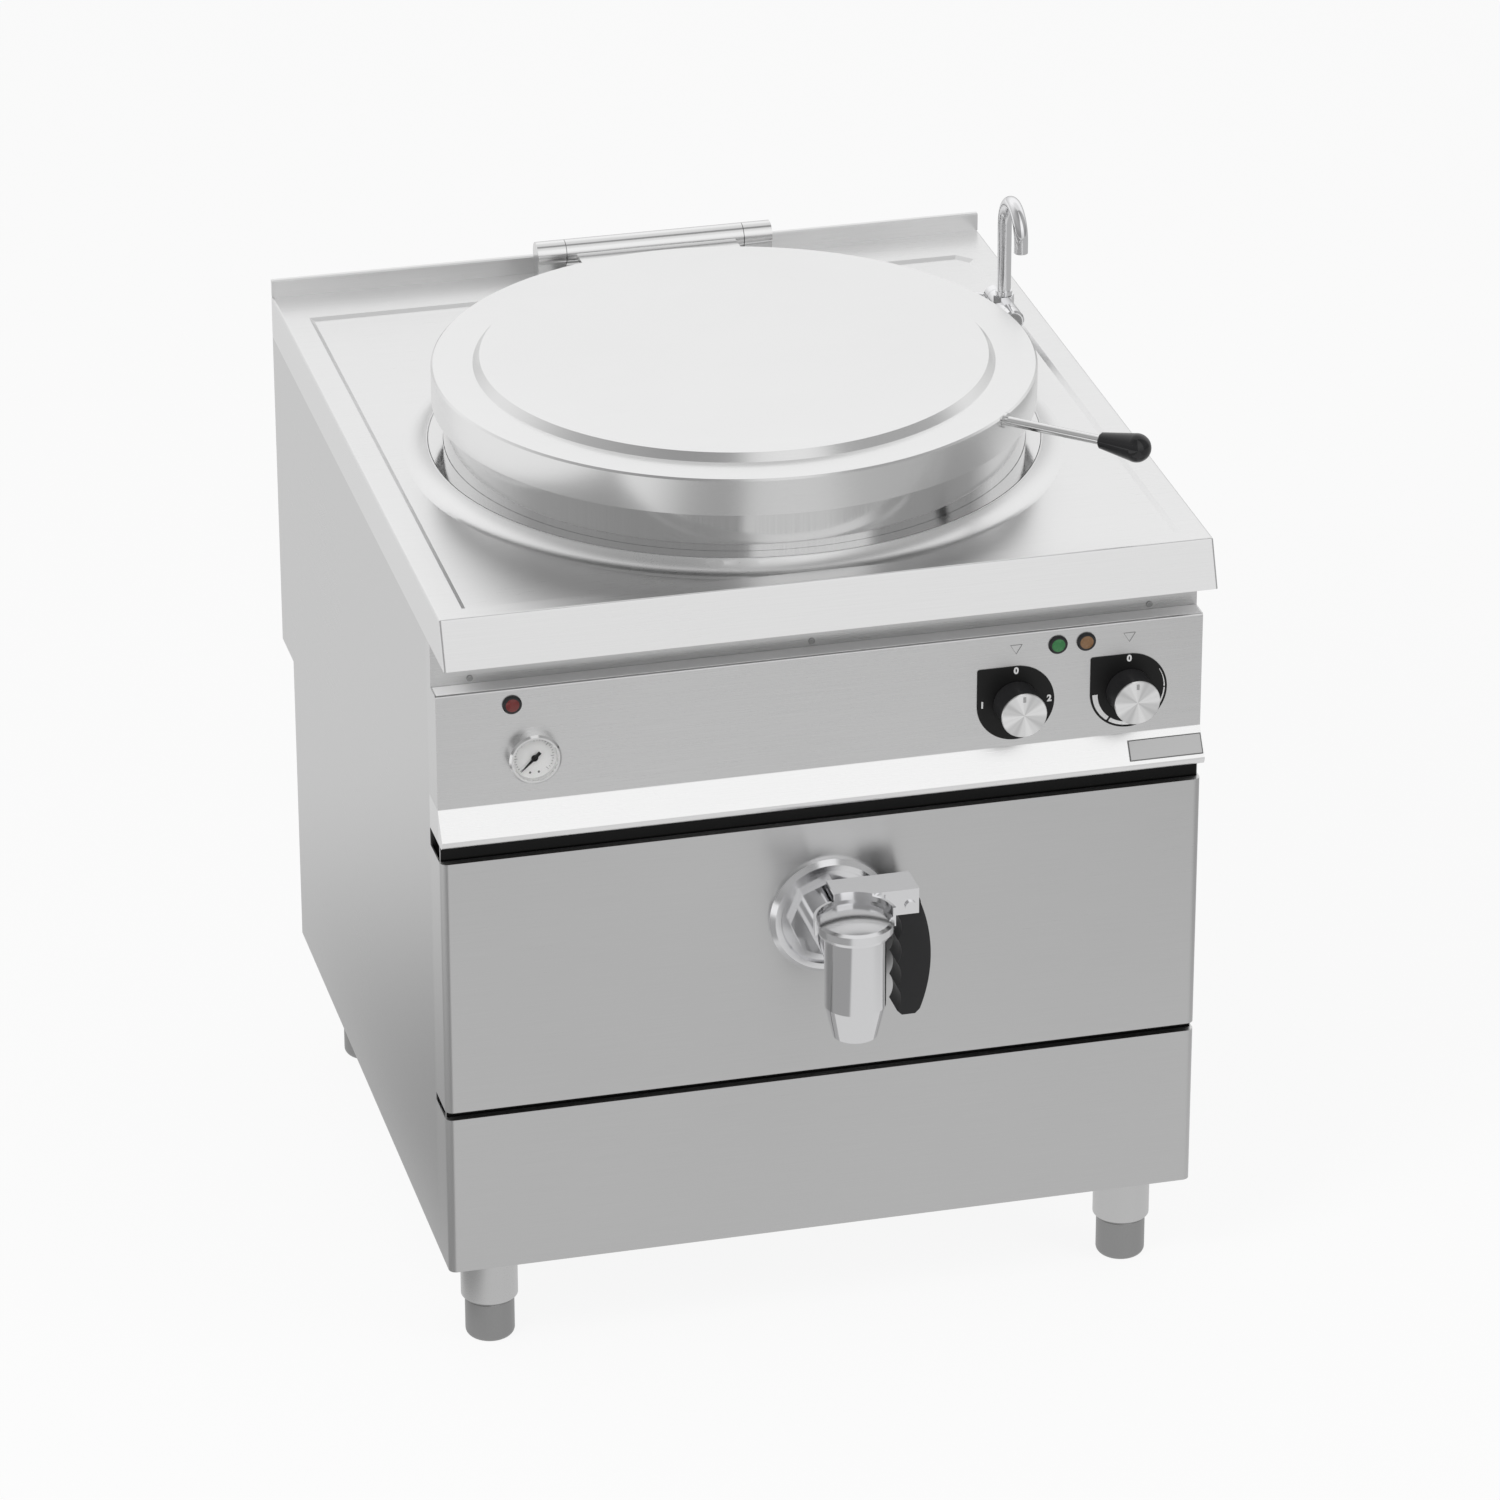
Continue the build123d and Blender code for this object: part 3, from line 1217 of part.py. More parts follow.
# ---------------------------------------------------------------- connections at the rear
inlet_wall = inlet_diameter / 2
with BuildPart() as water_inlets:
    with BuildSketch(front_plane(step_y - sheet, inlet_x, inlet_height)):
        RectangleRounded(inlet_plate_width, inlet_plate_height, inlet_plate_corner)
    extrude(amount=2 * sheet)
    with BuildSketch(front_plane(step_y - 3 * sheet, inlet_x, inlet_height)):
        with Locations((-inlet_spacing / 2, 0), (inlet_spacing / 2, 0)):
            Circle(inlet_wall)
    extrude(amount=-inlet_length - 3 * sheet)
    with BuildSketch(front_plane(step_y, inlet_x, inlet_height)):
        with Locations((-inlet_spacing / 2, 0), (inlet_spacing / 2, 0)):
            RegularPolygon(inlet_nut_width / 2, 6)
    extrude(amount=-inlet_nut_thickness)
    with BuildSketch(front_plane(step_y + inlet_length, inlet_x, inlet_height)):
        with Locations((-inlet_spacing / 2, 0), (inlet_spacing / 2, 0)):
            Circle(inlet_bore / 2)
    extrude(amount=inlet_length + 3 * sheet, mode=Mode.SUBTRACT)
save(water_inlets, "water_inlets")

with BuildPart() as cable_gland:
    with BuildSketch(front_plane(step_y, gland_x, gland_height)):
        RegularPolygon(gland_diameter / 2, 6)
    extrude(amount=-gland_nut_length)
    with BuildSketch(front_plane(step_y + gland_nut_length, gland_x, gland_height)):
        Circle(gland_diameter / 2 - gland_bevel)
    extrude(amount=gland_nut_length - gland_length)
    chamfer(cable_gland.edges().filter_by(GeomType.CIRCLE).sort_by(Axis.Y)[-1], gland_bevel)
    with BuildSketch(front_plane(step_y, gland_x, gland_height)):
        Circle(gland_bore / 2 + sheet)
    extrude(amount=gland_nut_length)
    with BuildSketch(front_plane(step_y + gland_length, gland_x, gland_height)):
        Circle(gland_bore / 2)
    extrude(amount=2 * gland_length, mode=Mode.SUBTRACT)
save(cable_gland, "cable_gland")
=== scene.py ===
# %% [markdown]
# # Dressing a steam jacketed kettle
# The solids come from the CAD model as a fixed frame. This lesson gives them their metal, plastic and
# glass finishes, adds the small trim that the solids leave out, and lights them as in a studio.

# %% Load the solids
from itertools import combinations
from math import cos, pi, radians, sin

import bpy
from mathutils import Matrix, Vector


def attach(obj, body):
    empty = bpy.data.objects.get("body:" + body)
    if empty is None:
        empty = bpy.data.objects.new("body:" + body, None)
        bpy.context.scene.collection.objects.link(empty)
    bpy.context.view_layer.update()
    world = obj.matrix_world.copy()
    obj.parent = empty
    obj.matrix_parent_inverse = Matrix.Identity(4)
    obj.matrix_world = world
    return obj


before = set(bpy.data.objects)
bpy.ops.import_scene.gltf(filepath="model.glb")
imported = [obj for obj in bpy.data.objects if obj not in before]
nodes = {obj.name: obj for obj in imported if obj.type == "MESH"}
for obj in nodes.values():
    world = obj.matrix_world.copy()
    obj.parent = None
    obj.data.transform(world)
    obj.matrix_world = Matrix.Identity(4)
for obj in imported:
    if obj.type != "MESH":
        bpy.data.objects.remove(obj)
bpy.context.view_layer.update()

# %% [markdown]
# ## Millimetre
# mm is a millimetre in metres.

mm = 0.001

# %% [markdown]
# ## Camera
# A long lens stands left of the kettle and looks down on its worktop by about 26 degrees, so that the
# edges stay nearly parallel, as in a catalogue picture.

# %% Camera
camera_data = bpy.data.cameras.new("studio_camera")
camera_data.sensor_width = 36
camera_data.lens = 171.98
camera_data.clip_end = 100
camera = bpy.data.objects.new("studio_camera", camera_data)
bpy.context.scene.collection.objects.link(camera)
camera.location = (-1.6803, -6.6701, 3.8204)
camera.rotation_euler = (radians(64.2309), radians(0.1073), radians(-14.284))
bpy.context.scene.camera = camera
print("camera lens:", camera_data.lens, "mm")

# %% [markdown]
# ## Helpers for node trees
# A material is a small graph. These helpers add a node with its settings, and join two sockets, so that
# each finish below reads as a list of what it is made of.

# %% Node helpers
def add_node(tree, kind, **settings):
    node = tree.nodes.new(kind)
    for name, value in settings.items():
        setattr(node, name, value)
    return node


def set_inputs(node, **values):
    for name, value in values.items():
        node.inputs[name.replace("_", " ")].default_value = value


def join(tree, source, target):
    tree.links.new(source, target)


def feed(tree, value, socket):
    """Sets a socket to a number, or joins another socket to it."""
    if isinstance(value, (int, float)):
        socket.default_value = value
    else:
        join(tree, value, socket)


def calc(tree, operation, *values, clamp=False):
    """A math node of numbers or sockets; its result's socket."""
    node = add_node(tree, "ShaderNodeMath", operation=operation, use_clamp=clamp)
    for slot, value in enumerate(values):
        feed(tree, value, node.inputs[slot])
    return node.outputs[0]


def step(tree, value, low, high, first=0.0, last=1.0):
    """A smooth step: first below low, last above high."""
    node = add_node(tree, "ShaderNodeMapRange", interpolation_type="SMOOTHSTEP")
    for slot, number in (("From Min", low), ("From Max", high), ("To Min", first), ("To Max", last)):
        node.inputs[slot].default_value = number
    join(tree, value, node.inputs["Value"])
    return node.outputs["Result"]


def blend_value(tree, mask, first, second):
    """first where the mask is 0, second where it is 1."""
    node = add_node(tree, "ShaderNodeMix", data_type="FLOAT")
    for slot, value in (("Factor", mask), ("A", first), ("B", second)):
        feed(tree, value, node.inputs[slot])
    return node.outputs["Result"]


def levels(tree, value, stops):
    """A grey ramp over 0 to 1."""
    node = add_node(tree, "ShaderNodeValToRGB")
    ramp = node.color_ramp
    ramp.elements[0].position, ramp.elements[1].position = stops[0][0], stops[-1][0]
    for element, level in ((ramp.elements[0], stops[0][1]), (ramp.elements[1], stops[-1][1])):
        element.color = (level, level, level, 1)
    for position, level in stops[1:-1]:
        ramp.elements.new(position).color = (level, level, level, 1)
    join(tree, value, node.inputs["Fac"])
    return node.outputs["Color"]


def new_group(name, inputs, outputs):
    """A shader node group. An input is a name, a socket kind and a value; an output is a name and a kind."""
    group = bpy.data.node_groups.new(name, "ShaderNodeTree")
    for label, kind, value in inputs:
        socket = group.interface.new_socket(label, in_out="INPUT", socket_type=kind)
        socket.default_value = value
    for label, kind in outputs:
        group.interface.new_socket(label, in_out="OUTPUT", socket_type=kind)
    return group, group.nodes.new("NodeGroupInput"), group.nodes.new("NodeGroupOutput")


# %% [markdown]
# ## Brushed grain
# Sheet steel is ground with a belt, which leaves long fine scratches. Noise that is stretched along the
# belt's direction gives them. The group puts out a colour factor, a roughness shift and a height, so that
# every sheet can share it with its own direction and depth.

# %% Brushed grain group
FLOAT, VECTOR = "NodeSocketFloat", "NodeSocketVector"
grain_group, grain_in, grain_out = new_group(
    "brushed_grain",
    [("Stretch", VECTOR, (1, 1, 1)), ("Scale", FLOAT, 1500),
     ("Contrast", FLOAT, 0.1), ("Cloud", FLOAT, 0.05)],
    [("Shade", FLOAT), ("Rough", FLOAT), ("Height", FLOAT)])
where = add_node(grain_group, "ShaderNodeTexCoord")
stretched = add_node(grain_group, "ShaderNodeVectorMath", operation="MULTIPLY")
join(grain_group, where.outputs["Object"], stretched.inputs[0])
join(grain_group, grain_in.outputs["Stretch"], stretched.inputs[1])
fine = add_node(grain_group, "ShaderNodeTexNoise")
set_inputs(fine, Detail=3, Roughness=0.6)
join(grain_group, stretched.outputs[0], fine.inputs["Vector"])
join(grain_group, grain_in.outputs["Scale"], fine.inputs["Scale"])
cloud = add_node(grain_group, "ShaderNodeTexNoise")
set_inputs(cloud, Scale=3.5, Detail=2, Roughness=0.5)
join(grain_group, where.outputs["Object"], cloud.inputs["Vector"])
scratches = calc(grain_group, "SUBTRACT", fine.outputs["Fac"], 0.5)
scratches = calc(grain_group, "MULTIPLY", scratches, grain_in.outputs["Contrast"])
patches = calc(grain_group, "SUBTRACT", cloud.outputs["Fac"], 0.5)
patches = calc(grain_group, "MULTIPLY", patches, grain_in.outputs["Cloud"])
both = calc(grain_group, "ADD", scratches, patches)
join(grain_group, calc(grain_group, "ADD", both, 1), grain_out.inputs["Shade"])
join(grain_group, both, grain_out.inputs["Rough"])
join(grain_group, fine.outputs["Fac"], grain_out.inputs["Height"])
print("group ready:", grain_group.name)

# %% [markdown]
# ## Metal and coated finishes
# Every finish is the same short graph with other values: a colour and a roughness that the grain shifts a
# little, and the grain's height as a shallow bump. A painted or moulded surface is that graph without the
# metal. One function for all of them keeps the finishes comparable, and each still has its own grain.

# %% Steel finish
def steel(name, colour, roughness, stretch, scale=1500, contrast=0.12, cloud=0.06, bump=0.04, depth=0.02,
          brushed=0.0):
    """A metal with brushed grain. stretch says how fine the grain is along X, Y and Z. brushed spreads what
    is mirrored across the level scratches."""
    quarter_turn = 0.25
    material = bpy.data.materials.new(name)
    material.use_nodes = True
    tree = material.node_tree
    principled = tree.nodes["Principled BSDF"]
    principled.inputs["Metallic"].default_value = 1
    grain = add_node(tree, "ShaderNodeGroup", node_tree=grain_group)
    set_inputs(grain, Stretch=stretch, Scale=scale, Contrast=contrast, Cloud=cloud)
    tint = add_node(tree, "ShaderNodeVectorMath", operation="SCALE")
    tint.inputs[0].default_value = colour
    join(tree, grain.outputs["Shade"], tint.inputs["Scale"])
    join(tree, tint.outputs[0], principled.inputs["Base Color"])
    rough = calc(tree, "ADD", grain.outputs["Rough"], roughness, clamp=True)
    join(tree, rough, principled.inputs["Roughness"])
    relief = add_node(tree, "ShaderNodeBump")
    set_inputs(relief, Strength=bump, Distance=depth * mm)
    join(tree, grain.outputs["Height"], relief.inputs["Height"])
    join(tree, relief.outputs["Normal"], principled.inputs["Normal"])
    if brushed:
        principled.inputs["Anisotropic"].default_value = brushed
        principled.inputs["Anisotropic Rotation"].default_value = quarter_turn
        level = add_node(tree, "ShaderNodeTangent", direction_type="RADIAL", axis="Z")
        join(tree, level.outputs["Tangent"], principled.inputs["Tangent"])
    return material


def shade_where(material, mask_of):
    """Multiplies a steel's colour by the factor that mask_of(tree) gives."""
    tree = material.node_tree
    principled = tree.nodes["Principled BSDF"]
    source = principled.inputs["Base Color"].links[0].from_socket
    darker = add_node(tree, "ShaderNodeVectorMath", operation="SCALE")
    join(tree, source, darker.inputs[0])
    join(tree, mask_of(tree), darker.inputs["Scale"])
    join(tree, darker.outputs[0], principled.inputs["Base Color"])


def place_of(tree):
    """Sockets of the point's X, Y and Z in metres."""
    where = add_node(tree, "ShaderNodeTexCoord")
    parts = add_node(tree, "ShaderNodeSeparateXYZ")
    join(tree, where.outputs["Object"], parts.inputs[0])
    return parts.outputs["X"], parts.outputs["Y"], parts.outputs["Z"]


def coated(name, colour, roughness, mottle=0.06, scale=900, bump=0.1, depth=0.05, metallic=0.0, coat=0.0):
    """A painted or moulded finish with a fine even texture."""
    material = steel(name, colour, roughness, (1, 1, 1), scale, mottle, mottle, bump, depth)
    principled = material.node_tree.nodes["Principled BSDF"]
    principled.inputs["Metallic"].default_value = metallic
    principled.inputs["Coat Weight"].default_value = coat
    if not metallic:
        principled.inputs["Specular IOR Level"].default_value = 0.3
    return material


# %% [markdown]
# ## Table of finishes
# Most sheets share one direction of grain, across the front, and the side panels' grain runs to the back.
# The pan is smoother, with its grain up the wall, and the cast and turned fittings are bright. Plastics are
# nearly black with a fine moulded skin, and the lamps' lenses are dark because they are unlit. A table by
# name keeps all the values in one place, where they are easy to compare.

# %% Table of finishes
along_x = (0.01, 1, 1)
finishes = {
    "top_steel": steel("top_steel", (0.80, 0.80, 0.80), 0.30, along_x),
    "front_steel": steel("front_steel", (0.62, 0.62, 0.62), 0.30, along_x, contrast=0.10, brushed=0.75),
    "panel_steel": steel("panel_steel", (0.76, 0.76, 0.76), 0.30, along_x, contrast=0.22),
    "side_steel": steel("side_steel", (0.66, 0.66, 0.66), 0.30, (1, 0.01, 1)),
    "pan_steel": steel("pan_steel", (0.72, 0.72, 0.72), 0.11, (1, 1, 0.02), 600),
    "lid_steel": steel("lid_steel", (0.80, 0.80, 0.80), 0.22, along_x),
    "polished_steel": steel("polished_steel", (0.78, 0.78, 0.78), 0.12, along_x, contrast=0.05),
    "chrome_satin": steel("chrome_satin", (0.86, 0.86, 0.87), 0.17, (1, 1, 1), 200, 0.02, 0.03, 0.02),
    "chrome": steel("chrome", (0.82, 0.82, 0.83), 0.09, (1, 1, 1), 200, 0.02, 0.03, 0.02),
    "foot_steel": steel("foot_steel", (0.60, 0.60, 0.60), 0.36, (1, 1, 0.3), 900),
    "galvanised": steel("galvanised", (0.42, 0.43, 0.44), 0.45, (1, 1, 1), 60, 0.3, 0.2),
    "dark_steel": steel("dark_steel", (0.30, 0.29, 0.28), 0.42, (1, 1, 1), 80, 0.2, 0.2),
    "wool": coated("wool", (0.62, 0.52, 0.26), 0.9, 0.5, 500, 0.8, 0.8),
    "black_plastic": coated("black_plastic", (0.025, 0.025, 0.026), 0.38, 0.1, 1500, 0.2, 0.05),
    "grip_plastic": coated("grip_plastic", (0.02, 0.02, 0.021), 0.42, 0.1, 1200, 0.3, 0.08),
    "gloss_black": coated("gloss_black", (0.012, 0.012, 0.013), 0.12, 0.05, 600, 0.05, 0.02, coat=0.3),
    "plate_black": coated("plate_black", (0.006, 0.006, 0.006), 0.45, 0.08, 900),
    "red_lens": coated("red_lens", (0.16, 0.022, 0.02), 0.25, 0.2, 300, coat=0.5),
    "green_lens": coated("green_lens", (0.035, 0.19, 0.06), 0.25, 0.2, 300, coat=0.5),
    "amber_lens": coated("amber_lens", (0.24, 0.13, 0.06), 0.25, 0.2, 300, coat=0.5),
    "dial_white": coated("dial_white", (0.97, 0.97, 0.96), 0.5, 0.02),
    "mark_grey": coated("mark_grey", (0.36, 0.36, 0.36), 0.6, 0.05),
    # The near-white strip below is a painted highlight that stands in for light on the control panel's steel
    # top.
    "painted_highlight_strip": coated("painted_highlight_strip", (0.97, 0.97, 0.97), 0.35, 0.02),
    "plate_silver": steel("plate_silver", (0.52, 0.52, 0.52), 0.35, along_x),
    "line_grey": coated("line_grey", (0.16, 0.16, 0.16), 0.6, 0.05),
    "screw_steel": steel("screw_steel", (0.45, 0.45, 0.45), 0.25, (1, 1, 1), 300),
    "mark_white": coated("mark_white", (0.80, 0.80, 0.80), 0.5, 0.02),
}
print("finishes:", len(finishes))

# %% [markdown]
# ## Clear glass
# The gauge's window is thin glass. A transmissive Principled shader with a low roughness lets the dial
# show through.

# %% Glass
finishes["window_glass"] = coated("window_glass", (0.98, 0.98, 0.98), 0.02, 0.01, 40, 0.01, 0.01)
window_shader = finishes["window_glass"].node_tree.nodes["Principled BSDF"]
window_shader.inputs["Transmission Weight"].default_value = 1
window_shader.inputs["IOR"].default_value = 1.1
print("glass:", finishes["window_glass"].name)

# %% [markdown]
# ## Painted light and shade
# The knobs' caps are faced on a lathe, so light lies on them as sectors round the middle. That painted
# highlight, and three other painted tones, are painted here as factors on the colour: the front panels'
# folded edges and backs are painted almost black as shade, so that the joints read as shaded dark lines; the
# control panel's sloping foot is painted brighter than its face as light, and a little darker behind its face
# as shade; and the feet are painted darker below their sleeves as shade. These factors aren't differences of
# material. They could be left to the light alone, and then the cell's two lines with shade_where are deleted.

# %% Painted light and shade
selector_x, power_x, knob_height = 0.202, 0.322, 0.692
dials = (("selector", selector_x), ("power", power_x))


def sectors(centre_x, centre_z):
    """A mask of painted highlight and shade: bright and dark sectors round a knob's axis."""
    def mask_of(tree):
        x, y, z = place_of(tree)
        up, across = calc(tree, "SUBTRACT", z, centre_z), calc(tree, "SUBTRACT", x, centre_x)
        angle = calc(tree, "ARCTAN2", up, across)
        wave = calc(tree, "SINE", calc(tree, "MULTIPLY_ADD", angle, 4, 0.6))
        fine = calc(tree, "SINE", calc(tree, "MULTIPLY_ADD", angle, 14, 1.1))
        wide = calc(tree, "MULTIPLY_ADD", wave, 0.16, 1.0)
        return calc(tree, "ADD", wide, calc(tree, "MULTIPLY", fine, 0.05))
    return mask_of


def painted_gap_shade(tree):
    """Painted shade, almost black behind the front panels' faces except at their two ends."""
    x, y, z = place_of(tree)
    behind = step(tree, y, -0.3500, -0.3480)
    between = step(tree, calc(tree, "ABSOLUTE", x), 0.3975, 0.3985, 1.0, 0.0)
    return calc(tree, "MULTIPLY_ADD", calc(tree, "MULTIPLY", behind, between), -0.97, 1.0)


def painted_band_light_and_shade(tree):
    """Painted light, brighter on the control panel's sloping foot, and painted shade, a little darker behind
    its face.
    """
    x, y, z = place_of(tree)
    below = step(tree, z, 0.6425, 0.6440, 1.20, 1.0)
    return calc(tree, "MULTIPLY", below, step(tree, y, -0.3490, -0.3480, 1.0, 0.9))


def painted_foot_shade(tree):
    """Painted shade, darker below the sleeve of a foot."""
    x, y, z = place_of(tree)
    return step(tree, z, 0.060, 0.085, 0.60, 1.0)


for dial, middle in dials:
    name = f"{dial}_cap_steel"
    finishes[name] = steel(name, (0.86, 0.86, 0.86), 0.3, (1, 1, 1), 900, 0.05)
    shade_where(finishes[name], sectors(middle, knob_height))
painted = {"front_steel": painted_gap_shade, "panel_steel": painted_band_light_and_shade, "foot_steel": painted_foot_shade}
for name, mask in painted.items():
    shade_where(finishes[name], mask)
print("painted tones:", len(dials) + len(painted))

# %% [markdown]
# ## Which solid gets which finish
# The table goes by finish, so that pieces cut from one sheet or cast in one metal stay alike.

# %% Finishes on the solids
node_finish = {
    "top_steel": ["worktop", "rear_upstand"],
    "front_steel": ["upper_front_panel", "lower_front_panel"],
    "panel_steel": ["control_panel", "control_rail"],
    "side_steel": ["left_side_panel", "right_side_panel", "rear_panel_upper", "rear_panel_lower",
                   "base_frame"],
    "pan_steel": ["vessel", "lid_liner", "steam_jacket"],
    "lid_steel": ["lid_shell"],
    "polished_steel": ["left_hinge_sleeve", "right_hinge_sleeve", "hinge_shaft", "lid_arm", "lid_handle_rod",
                       "gauge_case"],
    "selector_cap_steel": ["selector_knob_cap"],
    "power_cap_steel": ["power_knob_cap"],
    "chrome_satin": ["drain_flange", "drain_valve_cap"],
    "chrome": ["drain_valve_body", "drain_valve_plug", "lever_strap", "lever_pin", "mixer_body", "spout",
               "front_valve_lever", "rear_valve_lever", "drain_pipe"],
    "foot_steel": ["front_left_foot", "front_right_foot", "rear_left_foot", "rear_right_foot"],
    "galvanised": ["bottom_pan"],
    "dark_steel": ["heating_elements", "water_inlets"],
    "wool": ["insulation"],
    "black_plastic": ["selector_knob", "power_knob", "selector_switch", "power_regulator", "cable_gland",
                      "red_lamp_holder", "green_lamp_holder", "amber_lamp_holder"],
    "grip_plastic": ["lever_grip"],
    "gloss_black": ["lid_handle_knob"],
    "plate_black": ["selector_plate", "power_plate", "gauge_needle"],
    "red_lens": ["red_lamp_lens"],
    "green_lens": ["green_lamp_lens"],
    "amber_lens": ["amber_lamp_lens"],
    "dial_white": ["gauge_dial"],
    "window_glass": ["gauge_glass"],
}
for finish, names in node_finish.items():
    for name in names:
        solid = nodes[name]
        solid.data.materials.clear()
        solid.data.materials.append(finishes[finish])
dressed = {name for names in node_finish.values() for name in names}
print("undressed:", sorted(set(nodes) - dressed))

# %% [markdown]
# ## Helpers for small trim
# The pieces below are too fine for the solids: screws, a bare plate, printed marks, the gauge's scale and the
# mixer's index cap. Each is placed at the piece that carries it and rides with it. A plain block or disc is
# used for most of them because they are under a millimetre thick, and the screws, the plate and the cap get a
# small bevel. One helper makes each form, and another names the result and ties it to a body.

# %% Trim helpers
facing_front = (pi / 2, 0, 0)


def finish_piece(name, finish, body="cabinet"):
    """Names the active object, puts its place into its mesh, gives it a finish and ties it to a body."""
    piece = bpy.context.object
    piece.name = name
    bpy.ops.object.transform_apply(location=True, rotation=True, scale=True)
    piece.data.materials.clear()
    piece.data.materials.append(finishes[finish])
    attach(piece, body)


def bevel(width):
    rounding = bpy.context.object.modifiers.new("edge_round", "BEVEL")
    rounding.width, rounding.segments = width, 3
    rounding.limit_method, rounding.angle_limit = "ANGLE", radians(35)
    bpy.ops.object.modifier_apply(modifier=rounding.name)


def thicken(depth):
    sheet = bpy.context.object.modifiers.new("thickness", "SOLIDIFY")
    sheet.thickness, sheet.offset = depth, 0
    bpy.ops.object.modifier_apply(modifier=sheet.name)


def block(centre, size, turn=(0, 0, 0), edge=0.0):
    bpy.ops.object.select_all(action="DESELECT")
    bpy.ops.mesh.primitive_cube_add(size=1, location=centre, rotation=turn)
    bpy.context.object.scale = size
    bpy.ops.object.transform_apply(location=False, rotation=False, scale=True)
    if edge:
        bevel(edge)


def disc(centre, radius, depth, edge=0.0, sides=48):
    """A flat cylinder whose axis points to the front."""
    bpy.ops.object.select_all(action="DESELECT")
    bpy.ops.mesh.primitive_cylinder_add(vertices=sides, radius=radius, depth=depth, location=centre,
                                        rotation=facing_front)
    if edge:
        bevel(edge)


def outline(points, depth):
    """A flat shape that faces the front, from its corners, given a thickness."""
    shape = bpy.data.meshes.new("outline")
    shape.from_pydata(points, [], [list(range(len(points)))])
    piece = bpy.data.objects.new("outline", shape)
    bpy.context.scene.collection.objects.link(piece)
    bpy.ops.object.select_all(action="DESELECT")
    bpy.context.view_layer.objects.active = piece
    piece.select_set(True)
    thicken(depth)


# %% [markdown]
# ## Ring over the gutter
# The solids have an open gutter between the pan and the worktop's collar. This ring isn't a piece of the
# kettle. It only covers that gutter, whose deep walls would otherwise show as a dark band round the pan, and
# it has the pan's own finish. Deleting this cell shows the gutter.

# %% Ring over the gutter
pan_centre, ring_height, ring_thickness = (-0.008, -0.013), 0.8738, 0.002
ring_inner, ring_outer = 0.3033, 0.3187
bpy.ops.object.select_all(action="DESELECT")
bpy.ops.mesh.primitive_circle_add(vertices=160, radius=ring_inner, location=(*pan_centre, ring_height))
bpy.ops.object.mode_set(mode="EDIT")
bpy.ops.mesh.select_all(action="SELECT")
bpy.ops.mesh.extrude_region_move()
bpy.ops.transform.resize(value=(ring_outer / ring_inner, ring_outer / ring_inner, 1))
bpy.ops.object.mode_set(mode="OBJECT")
thicken(ring_thickness)
finish_piece("collar_seal", "pan_steel")
print("ring over the gutter:", ring_inner, "to", ring_outer)

# %% [markdown]
# ## Control panel's top, rail screws and bare plate
# The panel's top is a narrow level strip that catches light, given a near-white colour as a painted highlight
# in place of its steel; three screws hold the rail, and a small plate without lettering lies on the sloping
# foot. The plate is a thin block on a slightly larger dark one, which leaves a fine outline round it.

# %% Control panel's top, rail screws and bare plate
# The near-white strip is a painted highlight on the control panel's steel top.
block((0, -0.3366, 0.7697), (0.797, 0.0195, 0.0004))
finish_piece("control_top_edge", "painted_highlight_strip")
screw_places = (-0.360, -0.007, 0.349)
for number, across in enumerate(screw_places):
    disc((across, -0.3270, 0.7757), 0.0034, 0.0014, edge=0.0005, sides=24)
    finish_piece(f"rail_screw_{number}", "screw_steel")
band_slope = (0.9950, 0, 0)
block((0.3598, -0.35915, 0.62755), (0.0785, 0.0220, 0.0005), band_slope)
finish_piece("bare_plate_edge", "line_grey")
block((0.3598, -0.35945, 0.62775), (0.0765, 0.0200, 0.0008), band_slope, 0.0003)
finish_piece("bare_plate", "plate_silver")
print("rail screws:", len(screw_places))

# %% [markdown]
# ## Triangles over the dials
# A printed triangle over each dial points down at the knob's mark. Three thin bars make its outline, because
# an outline has to stay open in the middle.

# %% Triangles over the dials
triangle_top, triangle_half, triangle_height, line_width = 0.7565, 0.0062, 0.010, 0.0005
marks_front, print_depth = -0.34862, 0.0003
corners = ((-triangle_half, triangle_top), (triangle_half, triangle_top), (0, triangle_top - triangle_height))
for dial, middle in dials:
    for part, (first, last) in enumerate(combinations(corners, 2)):
        along = Vector((last[0] - first[0], 0, last[1] - first[1]))
        block((middle + (first[0] + last[0]) / 2, marks_front, (first[1] + last[1]) / 2),
              (along.length, print_depth, line_width), along.to_track_quat("X", "Y").to_euler())
        finish_piece(f"{dial}_pointer_line_{part}", "line_grey")
print("triangles:", len(dials))

# %% [markdown]
# ## Numbers on the dial plates
# The numbers are printed in white. A text object gives their form, and it becomes a mesh before its place is
# applied, so that the piece ends at the origin like every other.

# %% Numbers on the dial plates
plate_front = -0.3493
above, beside, lift = 0.0358, 0.0355, 0.0010
numbers = (("0", selector_x, (0, above)), ("1", selector_x, (-beside, lift)),
           ("2", selector_x, (beside, lift)), ("0", power_x, (0, above)))
for text, centre, (across, up) in numbers:
    bpy.ops.object.select_all(action="DESELECT")
    bpy.ops.object.text_add(location=(centre + across, plate_front - 0.00015, knob_height + up),
                            rotation=facing_front)
    letter = bpy.context.object.data
    letter.body, letter.size, letter.extrude, letter.offset = text, 0.0098, 0.0001, 0.0004
    letter.align_x, letter.align_y = "CENTER", "CENTER"
    bpy.ops.object.convert(target="MESH")
    finish_piece(f"dial_number_{int(centre * 1000)}_{text}", "mark_white")
print("numbers:", len(numbers))

# %% [markdown]
# ## Wedge on the power plate
# A white wedge runs round the power plate and grows thicker with the power. It is drawn in three parts, which
# leave thin gaps between them, from an outer arc and an inner one that moves away from it.

